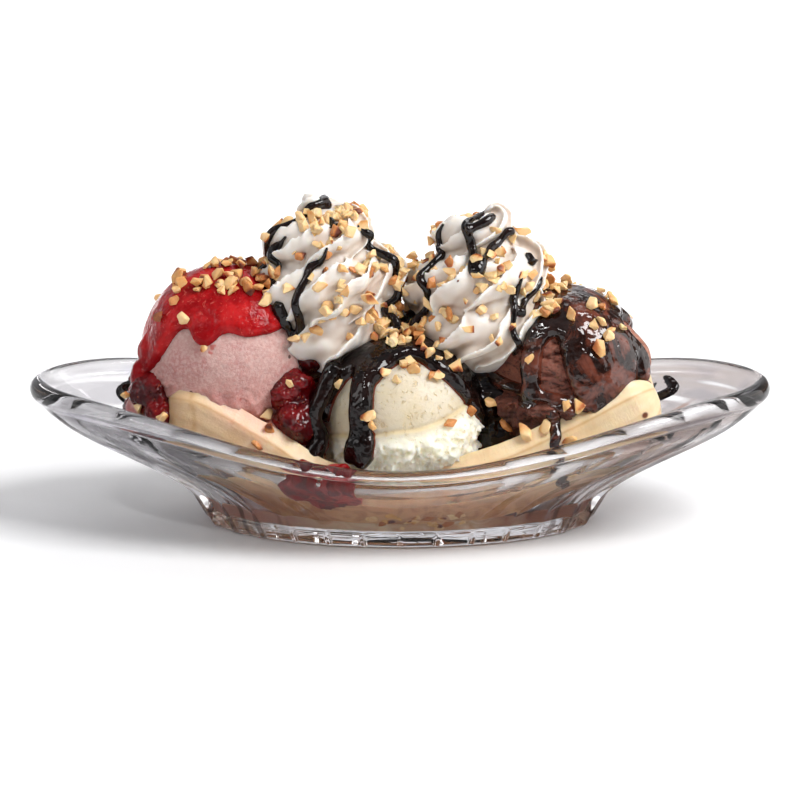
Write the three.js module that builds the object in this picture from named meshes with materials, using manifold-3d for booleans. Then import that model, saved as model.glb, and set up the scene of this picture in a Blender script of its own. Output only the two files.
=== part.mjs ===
// Banana split: two banana halves and three scoops of ice cream in a long pressed-glass boat dish,
// with strawberry sauce, fudge sauce, two swirls of whipped cream and chopped peanuts.
// Millimetres, +Z up. The dish stands on Z = 0 with its long way along X; the origin is the middle of its
// foot.

import * as THREE from "three";
import { mergeVertices } from "three/addons/utils/BufferGeometryUtils.js";
import Module from "manifold-3d";

const wasm = await Module();
wasm.setup();

// ---------- driving dimensions ----------

const GAP = 0.3; // clearance that touching pieces keep
const DEGREE = Math.PI / 180;

const DISH = {
  halfLength: 117.5,
  halfWidth: 49,
  footHalfLength: 62.5,
  footHalfWidth: 32,
  endHeight: 43.5, // middle of the rim bead at the two ends
  sideHeight: 27.5, // middle of the rim bead halfway along
  sheerPower: 5.2, // how late the rim starts to rise towards the ends
  leaning: 0.45, // share of its flare that the wall makes evenly on its way up
  flareFrom: 0.2, // shares of the wall's height between which it makes the rest
  flareTo: 0.91,
  floor: 5,
  wall: 6,
  hollowInset: 5.6, // from the outside of the wall to the hollow
  lipShare: 0.6, // how far up the inner side of the bead the hollow begins
  beadAtEnd: 3.4, // half the height of the rim bead
  beadAtSide: 2.0,
  footHeight: 5.2, // upright facetted band that the dish stands on
  flutes: 28,
  fluteDepth: 1.2,
  fluteAtSide: 0.4, // share of that depth that is left halfway along
};
// The outside of the foot: height, how far it is set in, and the share of the full flute depth.
const FOOT_STOPS = [
  [0, 1.2, 0],
  [0.9, 0.3, 0.6],
  [DISH.footHeight, 0.4, 0.6],
  [DISH.footHeight + 1.2, 1, 1],
];
// The outside of the wall above it, with each height as a share of the rim's height.
const WALL_STOPS = [
  [0.26, 0.5, 1],
  [0.42, 0.4, 0.9],
  [0.6, 0.3, 0.7],
  [0.8, 0.3, 0.3],
];
const BEAD_TURNS = [-75, -20, 35, 90, 145]; // degrees round the rim bead, from its outside to the hollow
const HOLLOW_SHARES = [0, 0.16, 0.34, 0.52, 0.7, 0.87]; // of the hollow's height
const LID_HEIGHT = 160; // higher than the food

const MELT_LEVEL = 9.5; // top of the melted ice cream on the floor of the dish

const BANANA = {
  radius: 14,
  endTaper: 11,
  tiltOfCut: 45, // degrees that the cut face leans back from upright
  flesh: 0.6, // how far the middle of the cut face swells
  closer: 0.82, // the back half lies this much nearer the middle of the dish
  flats: 7, // lengthwise flats on the round side
  cutPoints: [0.5, -0.5], // where the cut face swells, as shares of the radius
  stations: 14,
  firstStation: 0.35, // how far the first section is from the tip, in steps between sections
};

// Centre line of the front half: X, Y and Z of the middle of its cut face, from the left tip to the right.
const BANANA_LINE = [
  [-72, -11.5, 42.5],
  [-62, -14.5, 40],
  [-46, -18.5, 31],
  [-25, -21.5, 19],
  [2, -21.5, 16],
  [30, -20.5, 23],
  [52, -17, 32],
  [68, -13, 39.5],
  [80, -10, 45],
];

// Scoops of ice cream. The skirt is the ragged foot that a scoop leaves, in degrees and millimetres.
// A dent with a negative depth is a swelling.
const SCOOPS = {
  strawberry: {
    centre: [-54, -2, 56.5],
    radius: 24.5,
    skirt: { elevation: -30, width: 12, reach: 1.8 },
    dents: [
      { azimuth: -38, elevation: -12, width: 42, depth: -3.2 },
      { azimuth: -168, elevation: -22, width: 34, depth: -1.6 },
    ],
    seeds: { swells: 11, crags: 51 },
  },
  vanilla: {
    centre: [0, -12.5, 38],
    radius: 24,
    skirt: { elevation: -22, width: 15, reach: 3.6 },
    dents: [],
    seeds: { swells: 12, crags: 52 },
  },
  chocolate: {
    centre: [52, -2, 50],
    radius: 24.5,
    skirt: { elevation: -26, width: 14, reach: 2.6 },
    dents: [
      { azimuth: -10, elevation: 56, width: 22, depth: 2.5 },
      { azimuth: -8, elevation: 10, width: 16, depth: -3 },
    ],
    seeds: { swells: 13, crags: 53 },
  },
};
const SWELLS = { size: 15, height: 0.5 }; // slow unevenness all over a scoop
const CRAGS = { size: 7, height: 1.2 }; // lumps in its torn skirt

// Whipped cream: where its axis stands, its outline as radius and height pairs, and its twist.
const CREAM_OUTLINE = [
  [0, 0],
  [9, 2.5],
  [19.5, 9],
  [22.8, 18],
  [22.6, 26],
  [20.4, 33],
  [16.8, 39.5],
  [12.2, 45.5],
  [7, 50.5],
  [0, 53.5],
];
const CREAMS = {
  left: { axis: [-23.5, 0], base: 51, height: 53.5, ridges: 6, turns: 2.3, start: 200, seed: 21 },
  right: { axis: [25.5, 0], base: 47, height: 54.5, ridges: 6, turns: 2.1, start: 60, seed: 22 },
};
const CREAM = {
  coil: 2.3, // depth of the step between two coils
  ridge: 3.2, // depth of the grooves that the star nozzle leaves
  twist: 150, // degrees that the grooves turn on their way up
  lean: 1.5, // how far its middle bends to the right
  smoothFoot: [0.05, 0.3], // shares of the outline between which the grooves set in
  smoothTip: [0.86, 1], // and between which they fade
  pointsPerRidge: 4,
  rows: 13,
};
const DRIZZLE = { radius: 1.5, drop: 1.95, lift: 0.3, sides: 3 }; // strands of fudge on the cream
const HEART_SHARE = 0.35; // how far up a swirl its middle is

const BALL_DETAIL = 4; // how finely the scoops and the sauces over them are split
const LUMP_DETAIL = 1; // the same for fruit and for heaps of sauce
const SAUCE = {
  thickness: 2.6,
  edgeFrom: -6, // degrees below its edge where a sauce begins to rise out of the scoop
  edgeTo: 8, // degrees above its edge where it is at full thickness
  root: 3, // how deep its hidden rim lies in the scoop before that is cut out
};
const TONGUE = { lift: 1, dropSwell: 1.15, sides: 5 };
const FRUIT = { bumpSize: 5.3, relief: 0.13 }; // millimetres, and a share of each lump's radius

const NUT = {
  size: 3.6,
  smallest: 0.8, // shares of that size
  spread: 0.5,
  cornerRadius: 0.66,
  cornerFrom: 0.7, // each corner is pulled in to a random share of its radius
  cornerSpread: 0.4,
  leastHeld: 2, // cubic millimetres that must lie in the food
  onCream: 24,
  creamFrom: 0.28, // shares of the outline between which they lie on the cream
  creamTo: 0.92,
  turn: 137.5, // degrees from one nut on the cream to the next, which spreads them evenly
  stray: 20,
  lift: 0.6, // how far the middle of a nut lies above the food
};

// ---------- small tools ----------

// A repeatable source of random numbers between 0 and 1.
function randomSource(seed) {
  let state = Math.round(seed * 1e6);
  return () => {
    state = (state + 0x6d2b79f5) | 0;
    let mixed = Math.imul(state ^ (state >>> 15), state | 1);
    mixed ^= mixed + Math.imul(mixed ^ (mixed >>> 7), mixed | 61);
    return ((mixed ^ (mixed >>> 14)) >>> 0) / 4294967296;
  };
}

// A soft bumpy field in space, about -1 to 1, whose bumps are `size` millimetres apart.
function bumpyField(seed, size) {
  const random = randomSource(seed);
  const waves = [];
  for (let i = 0; i < 5; i += 1) {
    const way = new THREE.Vector3(random() - 0.5, random() - 0.5, random() - 0.5).normalize();
    waves.push({ way: way.multiplyScalar((2 * Math.PI) / size), phase: 2 * Math.PI * random() });
  }
  return (point) => waves.reduce((sum, wave) => sum + Math.sin(point.dot(wave.way) + wave.phase), 0) / 2.5;
}

const smooth = (low, high, value) => THREE.MathUtils.smoothstep(value, low, high);

// The difference of two angles in degrees, from -180 to 180.
const turnBetween = (a, b) => ((((a - b + 180) % 360) + 360) % 360) - 180;

function direction(azimuth, elevation) {
  const level = Math.cos(elevation * DEGREE);
  return new THREE.Vector3(
    level * Math.cos(azimuth * DEGREE),
    level * Math.sin(azimuth * DEGREE),
    Math.sin(elevation * DEGREE),
  );
}

const elevationOf = (way) => Math.asin(THREE.MathUtils.clamp(way.z, -1, 1)) / DEGREE;
const azimuthOf = (way) => Math.atan2(way.y, way.x) / DEGREE;

// ---------- solids ----------

// A geometry as a manifold-3d solid that can be joined and cut.
function solidFrom(geometry) {
  const bare = geometry.clone();
  bare.deleteAttribute("normal");
  bare.deleteAttribute("uv");
  const merged = mergeVertices(bare, 1e-4);
  const vertProperties = merged.attributes.position.array;
  const triVerts = new Uint32Array(merged.index.array);
  const solid = new wasm.Manifold(new wasm.Mesh({ numProp: 3, vertProperties, triVerts }));
  if (solid.volume() > 0) return solid;
  triVerts.reverse(); // the faces looked inwards
  return new wasm.Manifold(new wasm.Mesh({ numProp: 3, vertProperties, triVerts }));
}

function geometryFrom(solid) {
  const mesh = solid.getMesh();
  const geometry = new THREE.BufferGeometry();
  geometry.setAttribute("position", new THREE.BufferAttribute(mesh.vertProperties, 3));
  geometry.setIndex(new THREE.BufferAttribute(mesh.triVerts, 1));
  geometry.computeVertexNormals();
  return geometry;
}

// The outer skin of the largest body: loose scraps are dropped, and hollows that joining sealed are filled.
function largestBody(solid) {
  const settled = solidFrom(geometryFrom(solid)); // in the 32-bit numbers that a mesh holds
  return settled.decompose().reduce((best, body) => (body.volume() > best.volume() ? body : best));
}

// A closed skin over a stack of rings with equal numbers of points, shut by a point at each end.
function skin(firstPoint, rings, lastPoint) {
  const columns = rings[0].length;
  const points = [firstPoint, ...rings.flat(), lastPoint];
  const last = points.length - 1;
  const at = (row, column) => 1 + row * columns + (column % columns);
  const faces = [];
  for (let column = 0; column < columns; column += 1) {
    faces.push(0, at(0, column + 1), at(0, column));
    for (let row = 0; row + 1 < rings.length; row += 1) {
      faces.push(at(row, column), at(row, column + 1), at(row + 1, column));
      faces.push(at(row, column + 1), at(row + 1, column + 1), at(row + 1, column));
    }
    faces.push(last, at(rings.length - 1, column), at(rings.length - 1, column + 1));
  }
  const geometry = new THREE.BufferGeometry().setFromPoints(points);
  geometry.setIndex(faces);
  return solidFrom(geometry);
}

// A ball pushed in or out along each direction by a rule that gives the radius.
function ball(centre, radiusAlong, detail) {
  const geometry = new THREE.IcosahedronGeometry(1, detail);
  const places = geometry.attributes.position;
  const way = new THREE.Vector3();
  for (let i = 0; i < places.count; i += 1) {
    way.fromBufferAttribute(places, i).normalize();
    const radius = radiusAlong(way);
    places.setXYZ(i, centre.x + way.x * radius, centre.y + way.y * radius, centre.z + way.z * radius);
  }
  return solidFrom(geometry);
}

// A strand laid over a rounded body with the given centre; it ends in a drop.
function strand(points, centre, radius, dropRadius, sides) {
  const line = new THREE.CatmullRomCurve3(points, false, "centripetal");
  const steps = Math.max(3, Math.round(line.getLength() / (3 * radius)));
  const rings = [];
  for (let step = 0; step <= steps; step += 1) {
    const share = step / steps;
    const middle = line.getPointAt(share);
    const along = line.getTangentAt(share);
    const side = along.clone().cross(middle.clone().sub(centre)).normalize();
    const up = side.clone().cross(along);
    const swell = THREE.MathUtils.lerp(radius, dropRadius, smooth(0.7, 0.92, share));
    const width = swell * (step === 0 || step === steps ? 0.6 : 1);
    const ring = [];
    for (let k = 0; k < sides; k += 1) {
      const turn = (2 * Math.PI * k) / sides;
      const spoke = side.clone().multiplyScalar(Math.cos(turn) * width);
      ring.push(spoke.addScaledVector(up, Math.sin(turn) * width).add(middle));
    }
    rings.push(ring);
  }
  const start = line.getPointAt(0).addScaledVector(line.getTangentAt(0), -radius * 0.5);
  const end = line.getPointAt(1).addScaledVector(line.getTangentAt(1), dropRadius * 0.5);
  return skin(start, rings, end);
}

// ---------- the dish ----------

// Angles round the dish, closer together where the ellipse is long, so that all flutes are as wide.
function evenAngles(count) {
  const fine = 2000;
  const lengths = [0];
  for (let i = 1; i <= fine; i += 1) {
    const turn = (2 * Math.PI * (i - 0.5)) / fine;
    const step = Math.hypot(DISH.footHalfLength * Math.sin(turn), DISH.footHalfWidth * Math.cos(turn));
    lengths.push(lengths[i - 1] + step);
  }
  const angles = [];
  let i = 0;
  for (let k = 0; k < count; k += 1) {
    while (lengths[i + 1] < (lengths[fine] * k) / count) i += 1;
    angles.push((2 * Math.PI * i) / fine);
  }
  return angles;
}

const sheer = (angle) => Math.abs(Math.sin(angle)) ** DISH.sheerPower;
const rimHeight = (angle) => DISH.endHeight - (DISH.endHeight - DISH.sideHeight) * sheer(angle);
const beadHalf = (angle) => DISH.beadAtEnd - (DISH.beadAtEnd - DISH.beadAtSide) * sheer(angle);

// A point on the ellipse that the wall has at a share of its height, moved inwards by `inset`.
function onEllipse(angle, share, inset, z) {
  const flare = THREE.MathUtils.lerp(smooth(DISH.flareFrom, DISH.flareTo, share), share, DISH.leaning);
  const long = THREE.MathUtils.lerp(DISH.footHalfLength, DISH.halfLength, flare);
  const wide = THREE.MathUtils.lerp(DISH.footHalfWidth, DISH.halfWidth, flare);
  const outward = new THREE.Vector3(wide * Math.cos(angle), long * Math.sin(angle), 0).normalize();
  const point = new THREE.Vector3(long * Math.cos(angle), wide * Math.sin(angle), z);
  return point.addScaledVector(outward, -inset);
}

// A ring round the outside. The flutes are cut between every second pair of angles, deepest at the ends.
function dishOuterRing(angles, shareAt, inset, fluted) {
  return angles.map((angle, k) => {
    const share = shareAt(angle);
    const fade = THREE.MathUtils.lerp(DISH.fluteAtSide, 1, Math.abs(Math.cos(angle)));
    const depth = fluted * DISH.fluteDepth * fade;
    return onEllipse(angle, share, inset + depth * (k % 2), share * rimHeight(angle));
  });
}

// The rim bead is half round outside and rolls over to the inner wall.
function dishBeadRing(angles, turn) {
  return angles.map((angle) => {
    const half = beadHalf(angle);
    const inset = DISH.wall / 2 - (DISH.wall / 2) * Math.cos(turn);
    return onEllipse(angle, 1, inset, rimHeight(angle) + half * Math.sin(turn));
  });
}

// The hollow of the dish, whose wall follows the outside at the wall's thickness.
function dishInnerRing(angles, share, grow) {
  return angles.map((angle) => {
    const top = rimHeight(angle) + beadHalf(angle) * DISH.lipShare;
    const lift = DISH.floor - grow + (top - DISH.floor) * share;
    return onEllipse(angle, share, DISH.hollowInset - grow, lift);
  });
}

function dishSolid() {
  const angles = evenAngles(2 * DISH.flutes);
  const foot = FOOT_STOPS.map(([height, inset, fluted]) =>
    dishOuterRing(angles, (angle) => height / rimHeight(angle), inset, fluted));
  const wall = WALL_STOPS.map(([share, inset, fluted]) => dishOuterRing(angles, () => share, inset, fluted));
  const bead = BEAD_TURNS.map((turn) => dishBeadRing(angles, turn * DEGREE));
  const hollow = HOLLOW_SHARES.map((share) => dishInnerRing(angles, share, 0)).reverse();
  const floor = new THREE.Vector3(0, 0, DISH.floor);
  return skin(new THREE.Vector3(0, 0, 0), [...foot, ...wall, ...bead, ...hollow], floor);
}

// What fills the hollow up to a flat lid well above the rim; the food is trimmed to it.
function dishFilling() {
  const angles = evenAngles(2 * DISH.flutes);
  const rings = [...HOLLOW_SHARES, 1].map((share) => dishInnerRing(angles, share, -GAP));
  const lid = angles.map((angle) => onEllipse(angle, 1, 0, LID_HEIGHT));
  const floor = new THREE.Vector3(0, 0, DISH.floor + GAP);
  return skin(floor, [...rings, lid], new THREE.Vector3(0, 0, LID_HEIGHT));
}

// ---------- bananas ----------

// One half of a banana split lengthwise. `side` is 1 for the front half and -1 for the one behind.
function bananaSolid(side, grow) {
  const reach = side > 0 ? 1 : -BANANA.closer;
  const points = BANANA_LINE.map(([x, y, z]) => new THREE.Vector3(x, reach * y, z));
  const line = new THREE.CatmullRomCurve3(points, false, "centripetal");
  const length = line.getLength();
  const tilt = BANANA.tiltOfCut * DEGREE;
  const rings = [];
  for (let i = 0; i <= BANANA.stations; i += 1) {
    const fromMiddle = (2 * i) / BANANA.stations - 1;
    const station = BANANA.stations / 2 + fromMiddle * (BANANA.stations / 2 - BANANA.firstStation);
    const share = 0.5 - 0.5 * Math.cos((Math.PI * station) / BANANA.stations);
    const middle = line.getPointAt(share);
    const along = line.getTangentAt(share);
    const facing = new THREE.Vector3(0, side * Math.cos(tilt), Math.sin(tilt));
    const edge = facing.clone().cross(along).normalize();
    const outward = along.clone().cross(edge).normalize().negate();
    const fromEnd = Math.min(share, 1 - share) * length;
    const round = Math.min(1, fromEnd / BANANA.endTaper);
    const radius = BANANA.radius * Math.sqrt(1 - (1 - round) ** 2) + grow;
    rings.push(bananaSection(middle, edge, outward, radius, BANANA.flesh + grow));
  }
  return skin(line.getPointAt(0), rings, line.getPointAt(1));
}

// Half a disc whose round side has the faint flats of a peeled banana.
function bananaSection(middle, edge, outward, radius, beyondCut) {
  const section = [];
  for (let i = 0; i <= BANANA.flats; i += 1) {
    const turn = Math.PI * (i / BANANA.flats - 0.5);
    const spoke = edge.clone().multiplyScalar(Math.sin(turn) * radius);
    section.push(spoke.addScaledVector(outward, Math.cos(turn) * radius).add(middle));
  }
  for (const share of BANANA.cutPoints) {
    section.push(middle.clone().addScaledVector(edge, radius * share).addScaledVector(outward, -beyondCut));
  }
  return section;
}

// ---------- ice cream ----------

function scoopRadius(scoop) {
  const swells = bumpyField(scoop.seeds.swells, SWELLS.size);
  const crags = bumpyField(scoop.seeds.crags, CRAGS.size);
  const { skirt } = scoop;
  return (way) => {
    const elevation = elevationOf(way);
    const place = way.clone().multiplyScalar(scoop.radius);
    const foot = Math.exp(-(((elevation - skirt.elevation) / skirt.width) ** 2));
    const dent = scoop.dents.reduce((depth, each) => {
      const apart = way.angleTo(direction(each.azimuth, each.elevation)) / DEGREE;
      return depth + each.depth * Math.exp(-((apart / each.width) ** 2));
    }, 0);
    const torn = foot * (skirt.reach + CRAGS.height * crags(place));
    return scoop.radius - dent + SWELLS.height * swells(place) + torn;
  };
}

function scoopSolid(scoop, grow) {
  const radiusAlong = scoopRadius(scoop);
  return ball(new THREE.Vector3(...scoop.centre), (way) => radiusAlong(way) + grow, BALL_DETAIL);
}

// ---------- sauces ----------

// The lower edge of a sauce, as an elevation in degrees: a level with drips that run lower.
function sauceEdge(azimuth, level, drips) {
  return drips.reduce((edge, drip) => {
    const share = Math.exp(-((turnBetween(azimuth, drip.at) / drip.width) ** 4));
    return THREE.MathUtils.lerp(edge, drip.to, share);
  }, level);
}

// A sauce that covers a scoop above its edge, before the scoop is cut out of it.
function sauceOver(scoop, sauce, grow) {
  const radiusAlong = scoopRadius(scoop);
  return ball(new THREE.Vector3(...scoop.centre), (way) => {
    const above = elevationOf(way) - sauceEdge(azimuthOf(way), sauce.level, sauce.drips);
    const cover = smooth(SAUCE.edgeFrom, SAUCE.edgeTo, above);
    return radiusAlong(way) + THREE.MathUtils.lerp(-SAUCE.root, SAUCE.thickness + GAP, cover) + grow;
  }, BALL_DETAIL);
}

// A tongue of sauce that runs down over a scoop through azimuth and elevation pairs.
function tongue(scoop, stops, radius) {
  const centre = new THREE.Vector3(...scoop.centre);
  const points = stops.map(([azimuth, elevation]) =>
    direction(azimuth, elevation).multiplyScalar(scoop.radius + TONGUE.lift).add(centre));
  return strand(points, centre, radius, radius * TONGUE.dropSwell, TONGUE.sides);
}

// A heap of sauce that lies beside a scoop; `taller` stretches it upwards and downwards.
function heap([x, y, z], radius, taller) {
  return ball(new THREE.Vector3(x, y, z), (way) => radius + taller * way.z * way.z, LUMP_DETAIL);
}

// A sauce with its tongues and heaps.
function sauceSolid(scoop, sauce, grow) {
  const tongues = sauce.tongues.map(({ stops, radius }) => tongue(scoop, stops, radius + grow));
  const heaps = sauce.heaps.map(({ centre, radius, taller }) => heap(centre, radius + grow, taller));
  return [...tongues, ...heaps].reduce((sum, piece) => sum.add(piece), sauceOver(scoop, sauce, grow));
}

// Each sauce: the level of its lower edge in degrees, the drips in that edge, and what lies beyond it.
const STRAWBERRY_SAUCE = {
  level: 26,
  drips: [
    { at: -172, width: 21, to: -20 },
    { at: -104, width: 11, to: 12 },
    { at: -68, width: 11, to: 18 },
    { at: 150, width: 14, to: 4 },
    { at: 100, width: 13, to: -8 },
    { at: 50, width: 18, to: 14 },
  ],
  tongues: [{ stops: [[-160, 30], [-168, 8], [-169, -8], [-167, -16]], radius: 4.5 }],
  heaps: [],
};
const VANILLA_FUDGE = {
  level: 50,
  drips: [
    { at: -150, width: 26, to: 38 },
    { at: -82, width: 22, to: 66 },
    { at: -40, width: 14, to: 46 },
    { at: 0, width: 22, to: 14 },
    { at: 60, width: 20, to: 30 },
    { at: 110, width: 15, to: 12 },
  ],
  tongues: [
    { stops: [[-150, 48], [-158, 20], [-164, -5], [-168, -24]], radius: 4 },
    { stops: [[-128, 50], [-122, 25], [-120, 3], [-120, -12]], radius: 3.8 },
    { stops: [[-58, 66], [-36, 42], [-22, 20], [-10, 2]], radius: 3.4 },
  ],
  heaps: [
    { centre: [3, 3, 58], radius: 11, taller: 0 },
    { centre: [28, -15, 37], radius: 9.5, taller: 6 },
  ],
};
const CHOCOLATE_FUDGE = {
  level: 36,
  drips: [
    { at: -66, width: 36, to: -15 },
    { at: -113, width: 9, to: 30 },
    { at: -15, width: 14, to: 44 },
    { at: 40, width: 18, to: 10 },
    { at: 95, width: 20, to: -6 },
    { at: 150, width: 20, to: 12 },
  ],
  tongues: [],
  heaps: [],
};

// ---------- strawberries ----------

// Crushed strawberries: lumps of fruit that hang together. Each lump is X, Y, Z and radius.
function fruitSolid(lumps, seed, grow) {
  const pieces = lumps.map(([x, y, z, radius], i) => {
    const bumps = bumpyField(seed + i, FRUIT.bumpSize);
    const swell = (way) => 1 + FRUIT.relief * bumps(way.clone().multiplyScalar(radius));
    return ball(new THREE.Vector3(x, y, z), (way) => radius * swell(way) + grow, LUMP_DETAIL);
  });
  return pieces.reduce((sum, piece) => sum.add(piece));
}

const LEFT_FRUIT = [
  [-77, -14, 45, 7],
  [-80, -6, 39, 7],
  [-75, -19, 39, 5.5],
  [-79, 4, 43, 7.5],
];
const MIDDLE_FRUIT = [
  [-29, -10, 58, 8],
  [-34, -20, 48, 7],
  [-32, -24, 39, 7],
  [-28, 0, 50, 9],
];
const FRONT_FRUIT = [
  [-30, -36, 23, 6.5],
  [-19, -37, 22, 6.5],
  [-24, -35, 15, 6],
];

const BACK_FRUIT = [
  [-5, 14, 39, 8.5],
  [7, 15, 43, 8],
  [17, 13, 37, 8],
];

// ---------- whipped cream ----------

const creamOutline = new THREE.SplineCurve(CREAM_OUTLINE.map(([r, z]) => new THREE.Vector2(r, z)));

// A point of a cream swirl: `share` runs along its outline from the foot to the tip.
function creamPoint(cream, azimuth, share, out) {
  const outline = creamOutline.getPoint(share);
  const ridged = smooth(...CREAM.smoothFoot, share) * (1 - smooth(...CREAM.smoothTip, share));
  const coil = CREAM.coil * Math.cos(2 * Math.PI * cream.turns * share - azimuth * DEGREE);
  const twisted = (cream.ridges / 2) * (azimuth + CREAM.twist * share + cream.start) * DEGREE;
  const average = 2 / Math.PI; // of the ridges' outline, so that they swell it as much as they groove it
  const groove = CREAM.ridge * (Math.abs(Math.cos(twisted)) - average);
  const radius = Math.max(0, outline.x + ridged * (coil + groove)) + out;
  const lean = CREAM.lean * Math.sin(Math.PI * share);
  const height = (outline.y * cream.height) / CREAM_OUTLINE.at(-1)[1];
  return new THREE.Vector3(
    cream.axis[0] + lean + radius * Math.cos(azimuth * DEGREE),
    cream.axis[1] + radius * Math.sin(azimuth * DEGREE),
    cream.base + height,
  );
}

function creamSolid(cream, grow) {
  const columns = CREAM.pointsPerRidge * cream.ridges;
  const rings = [];
  for (let row = 1; row < CREAM.rows; row += 1) {
    const ring = [];
    for (let column = 0; column < columns; column += 1) {
      ring.push(creamPoint(cream, (360 * column) / columns, row / CREAM.rows, grow));
    }
    rings.push(ring);
  }
  return skin(creamPoint(cream, 0, 0, 0), rings, creamPoint(cream, 0, 1, 0));
}

// A swirl with strands of fudge run over it, each through azimuth and outline-share pairs.
function drizzledCream(cream, runs, grow) {
  const heart = new THREE.Vector3(...cream.axis, cream.base + HEART_SHARE * cream.height);
  return runs.reduce((sum, stops) => {
    const points = stops.map(([azimuth, share]) => creamPoint(cream, azimuth, share, DRIZZLE.lift));
    return sum.add(strand(points, heart, DRIZZLE.radius + grow, DRIZZLE.drop + grow, DRIZZLE.sides));
  }, creamSolid(cream, grow));
}

const LEFT_DRIZZLE = [
  [[-160, 0.88], [-150, 0.8], [-152, 0.64], [-146, 0.5], [-148, 0.4]],
  [[-92, 0.72], [-100, 0.62], [-108, 0.5], [-112, 0.38]],
  [[-50, 0.86], [-36, 0.74], [-34, 0.6], [-40, 0.46]],
  [[90, 0.84], [100, 0.68], [92, 0.5]],
];
const RIGHT_DRIZZLE = [
  [[-150, 0.84], [-144, 0.72], [-152, 0.6], [-146, 0.46]],
  [[-88, 0.86], [-94, 0.78], [-86, 0.7], [-60, 0.76], [-46, 0.86]],
  [[-30, 0.62], [-42, 0.52], [-40, 0.4], [-36, 0.3]],
  [[80, 0.84], [72, 0.68], [84, 0.5]],
];

// ---------- chopped peanuts ----------

// A chopped piece of peanut: a small chip with uneven corners.
function nutSolid(centre, size, seed) {
  const random = randomSource(seed);
  const geometry = new THREE.OctahedronGeometry(NUT.cornerRadius, 0);
  const corners = mergeVertices(geometry.deleteAttribute("normal").deleteAttribute("uv"));
  const anyTurn = () => 2 * Math.PI * random();
  const turned = new THREE.Euler(anyTurn(), anyTurn(), anyTurn());
  const places = corners.attributes.position;
  const corner = new THREE.Vector3();
  for (let i = 0; i < places.count; i += 1) {
    const pulled = NUT.cornerFrom + NUT.cornerSpread * random();
    corner.fromBufferAttribute(places, i).multiplyScalar(size * pulled);
    corner.applyEuler(turned).add(centre);
    places.setXYZ(i, corner.x, corner.y, corner.z);
  }
  return solidFrom(corners);
}

// Places for nuts all over a swirl.
function nutsOnCream(cream) {
  const random = randomSource(cream.seed);
  const places = [];
  for (let i = 0; i < NUT.onCream; i += 1) {
    const azimuth = NUT.turn * i + NUT.stray * random();
    const share = THREE.MathUtils.lerp(NUT.creamFrom, NUT.creamTo, (i + random()) / NUT.onCream);
    places.push(creamPoint(cream, azimuth, share, NUT.lift));
  }
  return places;
}

// Places for nuts all round a sauce-covered scoop, within a band of elevations.
function nutsOnScoop(scoop, { count, elevation, spread, seed }) {
  const random = randomSource(seed);
  const radiusAlong = scoopRadius(scoop);
  const places = [];
  for (let i = 0; i < count; i += 1) {
    const way = direction(360 * random(), elevation + spread * (2 * random() - 1));
    const radius = radiusAlong(way) + SAUCE.thickness + GAP + NUT.lift;
    places.push(way.multiplyScalar(radius).add(new THREE.Vector3(...scoop.centre)));
  }
  return places;
}

// ---------- putting the dessert together ----------

const filling = dishFilling();
const { strawberry, vanilla, chocolate } = SCOOPS;

// Pieces go in one by one. Each is trimmed to the dish and to the room that the pieces already there need.
const placed = new Map([["dish", dishSolid()]]);
const rooms = [];
function place(name, make) {
  const fitted = rooms.reduce((left, room) => left.subtract(room), make(0).intersect(filling));
  placed.set(name, largestBody(fitted));
  rooms.push(make(GAP));
}

// The melt is a slab of the dish's hollow, and everything else sinks into it.
function meltSolid(grow) {
  const slab = new THREE.BoxGeometry(2 * DISH.halfLength, 2 * DISH.halfWidth, 2 * (MELT_LEVEL + grow));
  return solidFrom(slab);
}

place("strawberry_slice_front", (grow) => fruitSolid(FRONT_FRUIT, 31, grow));
place("banana_front", (grow) => bananaSolid(1, grow));
place("banana_back", (grow) => bananaSolid(-1, grow));
place("melted_ice_cream", meltSolid);
place("strawberry_scoop", (grow) => scoopSolid(strawberry, grow));
place("vanilla_scoop", (grow) => scoopSolid(vanilla, grow));
place("chocolate_scoop", (grow) => scoopSolid(chocolate, grow));
place("strawberries_left", (grow) => fruitSolid(LEFT_FRUIT, 41, grow));
place("strawberries_middle", (grow) => fruitSolid(MIDDLE_FRUIT, 51, grow));
place("strawberries_back", (grow) => fruitSolid(BACK_FRUIT, 71, grow));
place("strawberry_sauce", (grow) => sauceSolid(strawberry, STRAWBERRY_SAUCE, grow));
place("fudge_on_vanilla", (grow) => sauceSolid(vanilla, VANILLA_FUDGE, grow));
place("fudge_on_chocolate", (grow) => sauceSolid(chocolate, CHOCOLATE_FUDGE, grow));
place("cream_left", (grow) => drizzledCream(CREAMS.left, LEFT_DRIZZLE, grow));
place("cream_right", (grow) => drizzledCream(CREAMS.right, RIGHT_DRIZZLE, grow));

// Joins nuts to a piece where they stay clear of every other piece; the others are skipped.
function addNuts(name, centres, seed) {
  const random = randomSource(seed);
  for (const centre of centres) {
    const size = NUT.size * (NUT.smallest + NUT.spread * random());
    const form = random();
    const nut = nutSolid(centre, size, form);
    const room = nutSolid(centre, size + 4 * GAP, form);
    const food = placed.get(name);
    const held = food.intersect(nut).volume() > NUT.leastHeld;
    const crosses = [...placed].some(([other, solid]) => other !== name && !solid.intersect(room).isEmpty());
    if (held && !crosses) placed.set(name, largestBody(food.add(nut)));
  }
}

// Nuts on the sauces: how many, and the elevations in degrees between which they lie.
const NUTS_ON_STRAWBERRY = { count: 15, elevation: 62, spread: 26, seed: 63 };
const NUTS_ON_CHOCOLATE = { count: 10, elevation: 45, spread: 35, seed: 64 };
const NUTS_ON_VANILLA = { count: 9, elevation: 60, spread: 25, seed: 65 };

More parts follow.
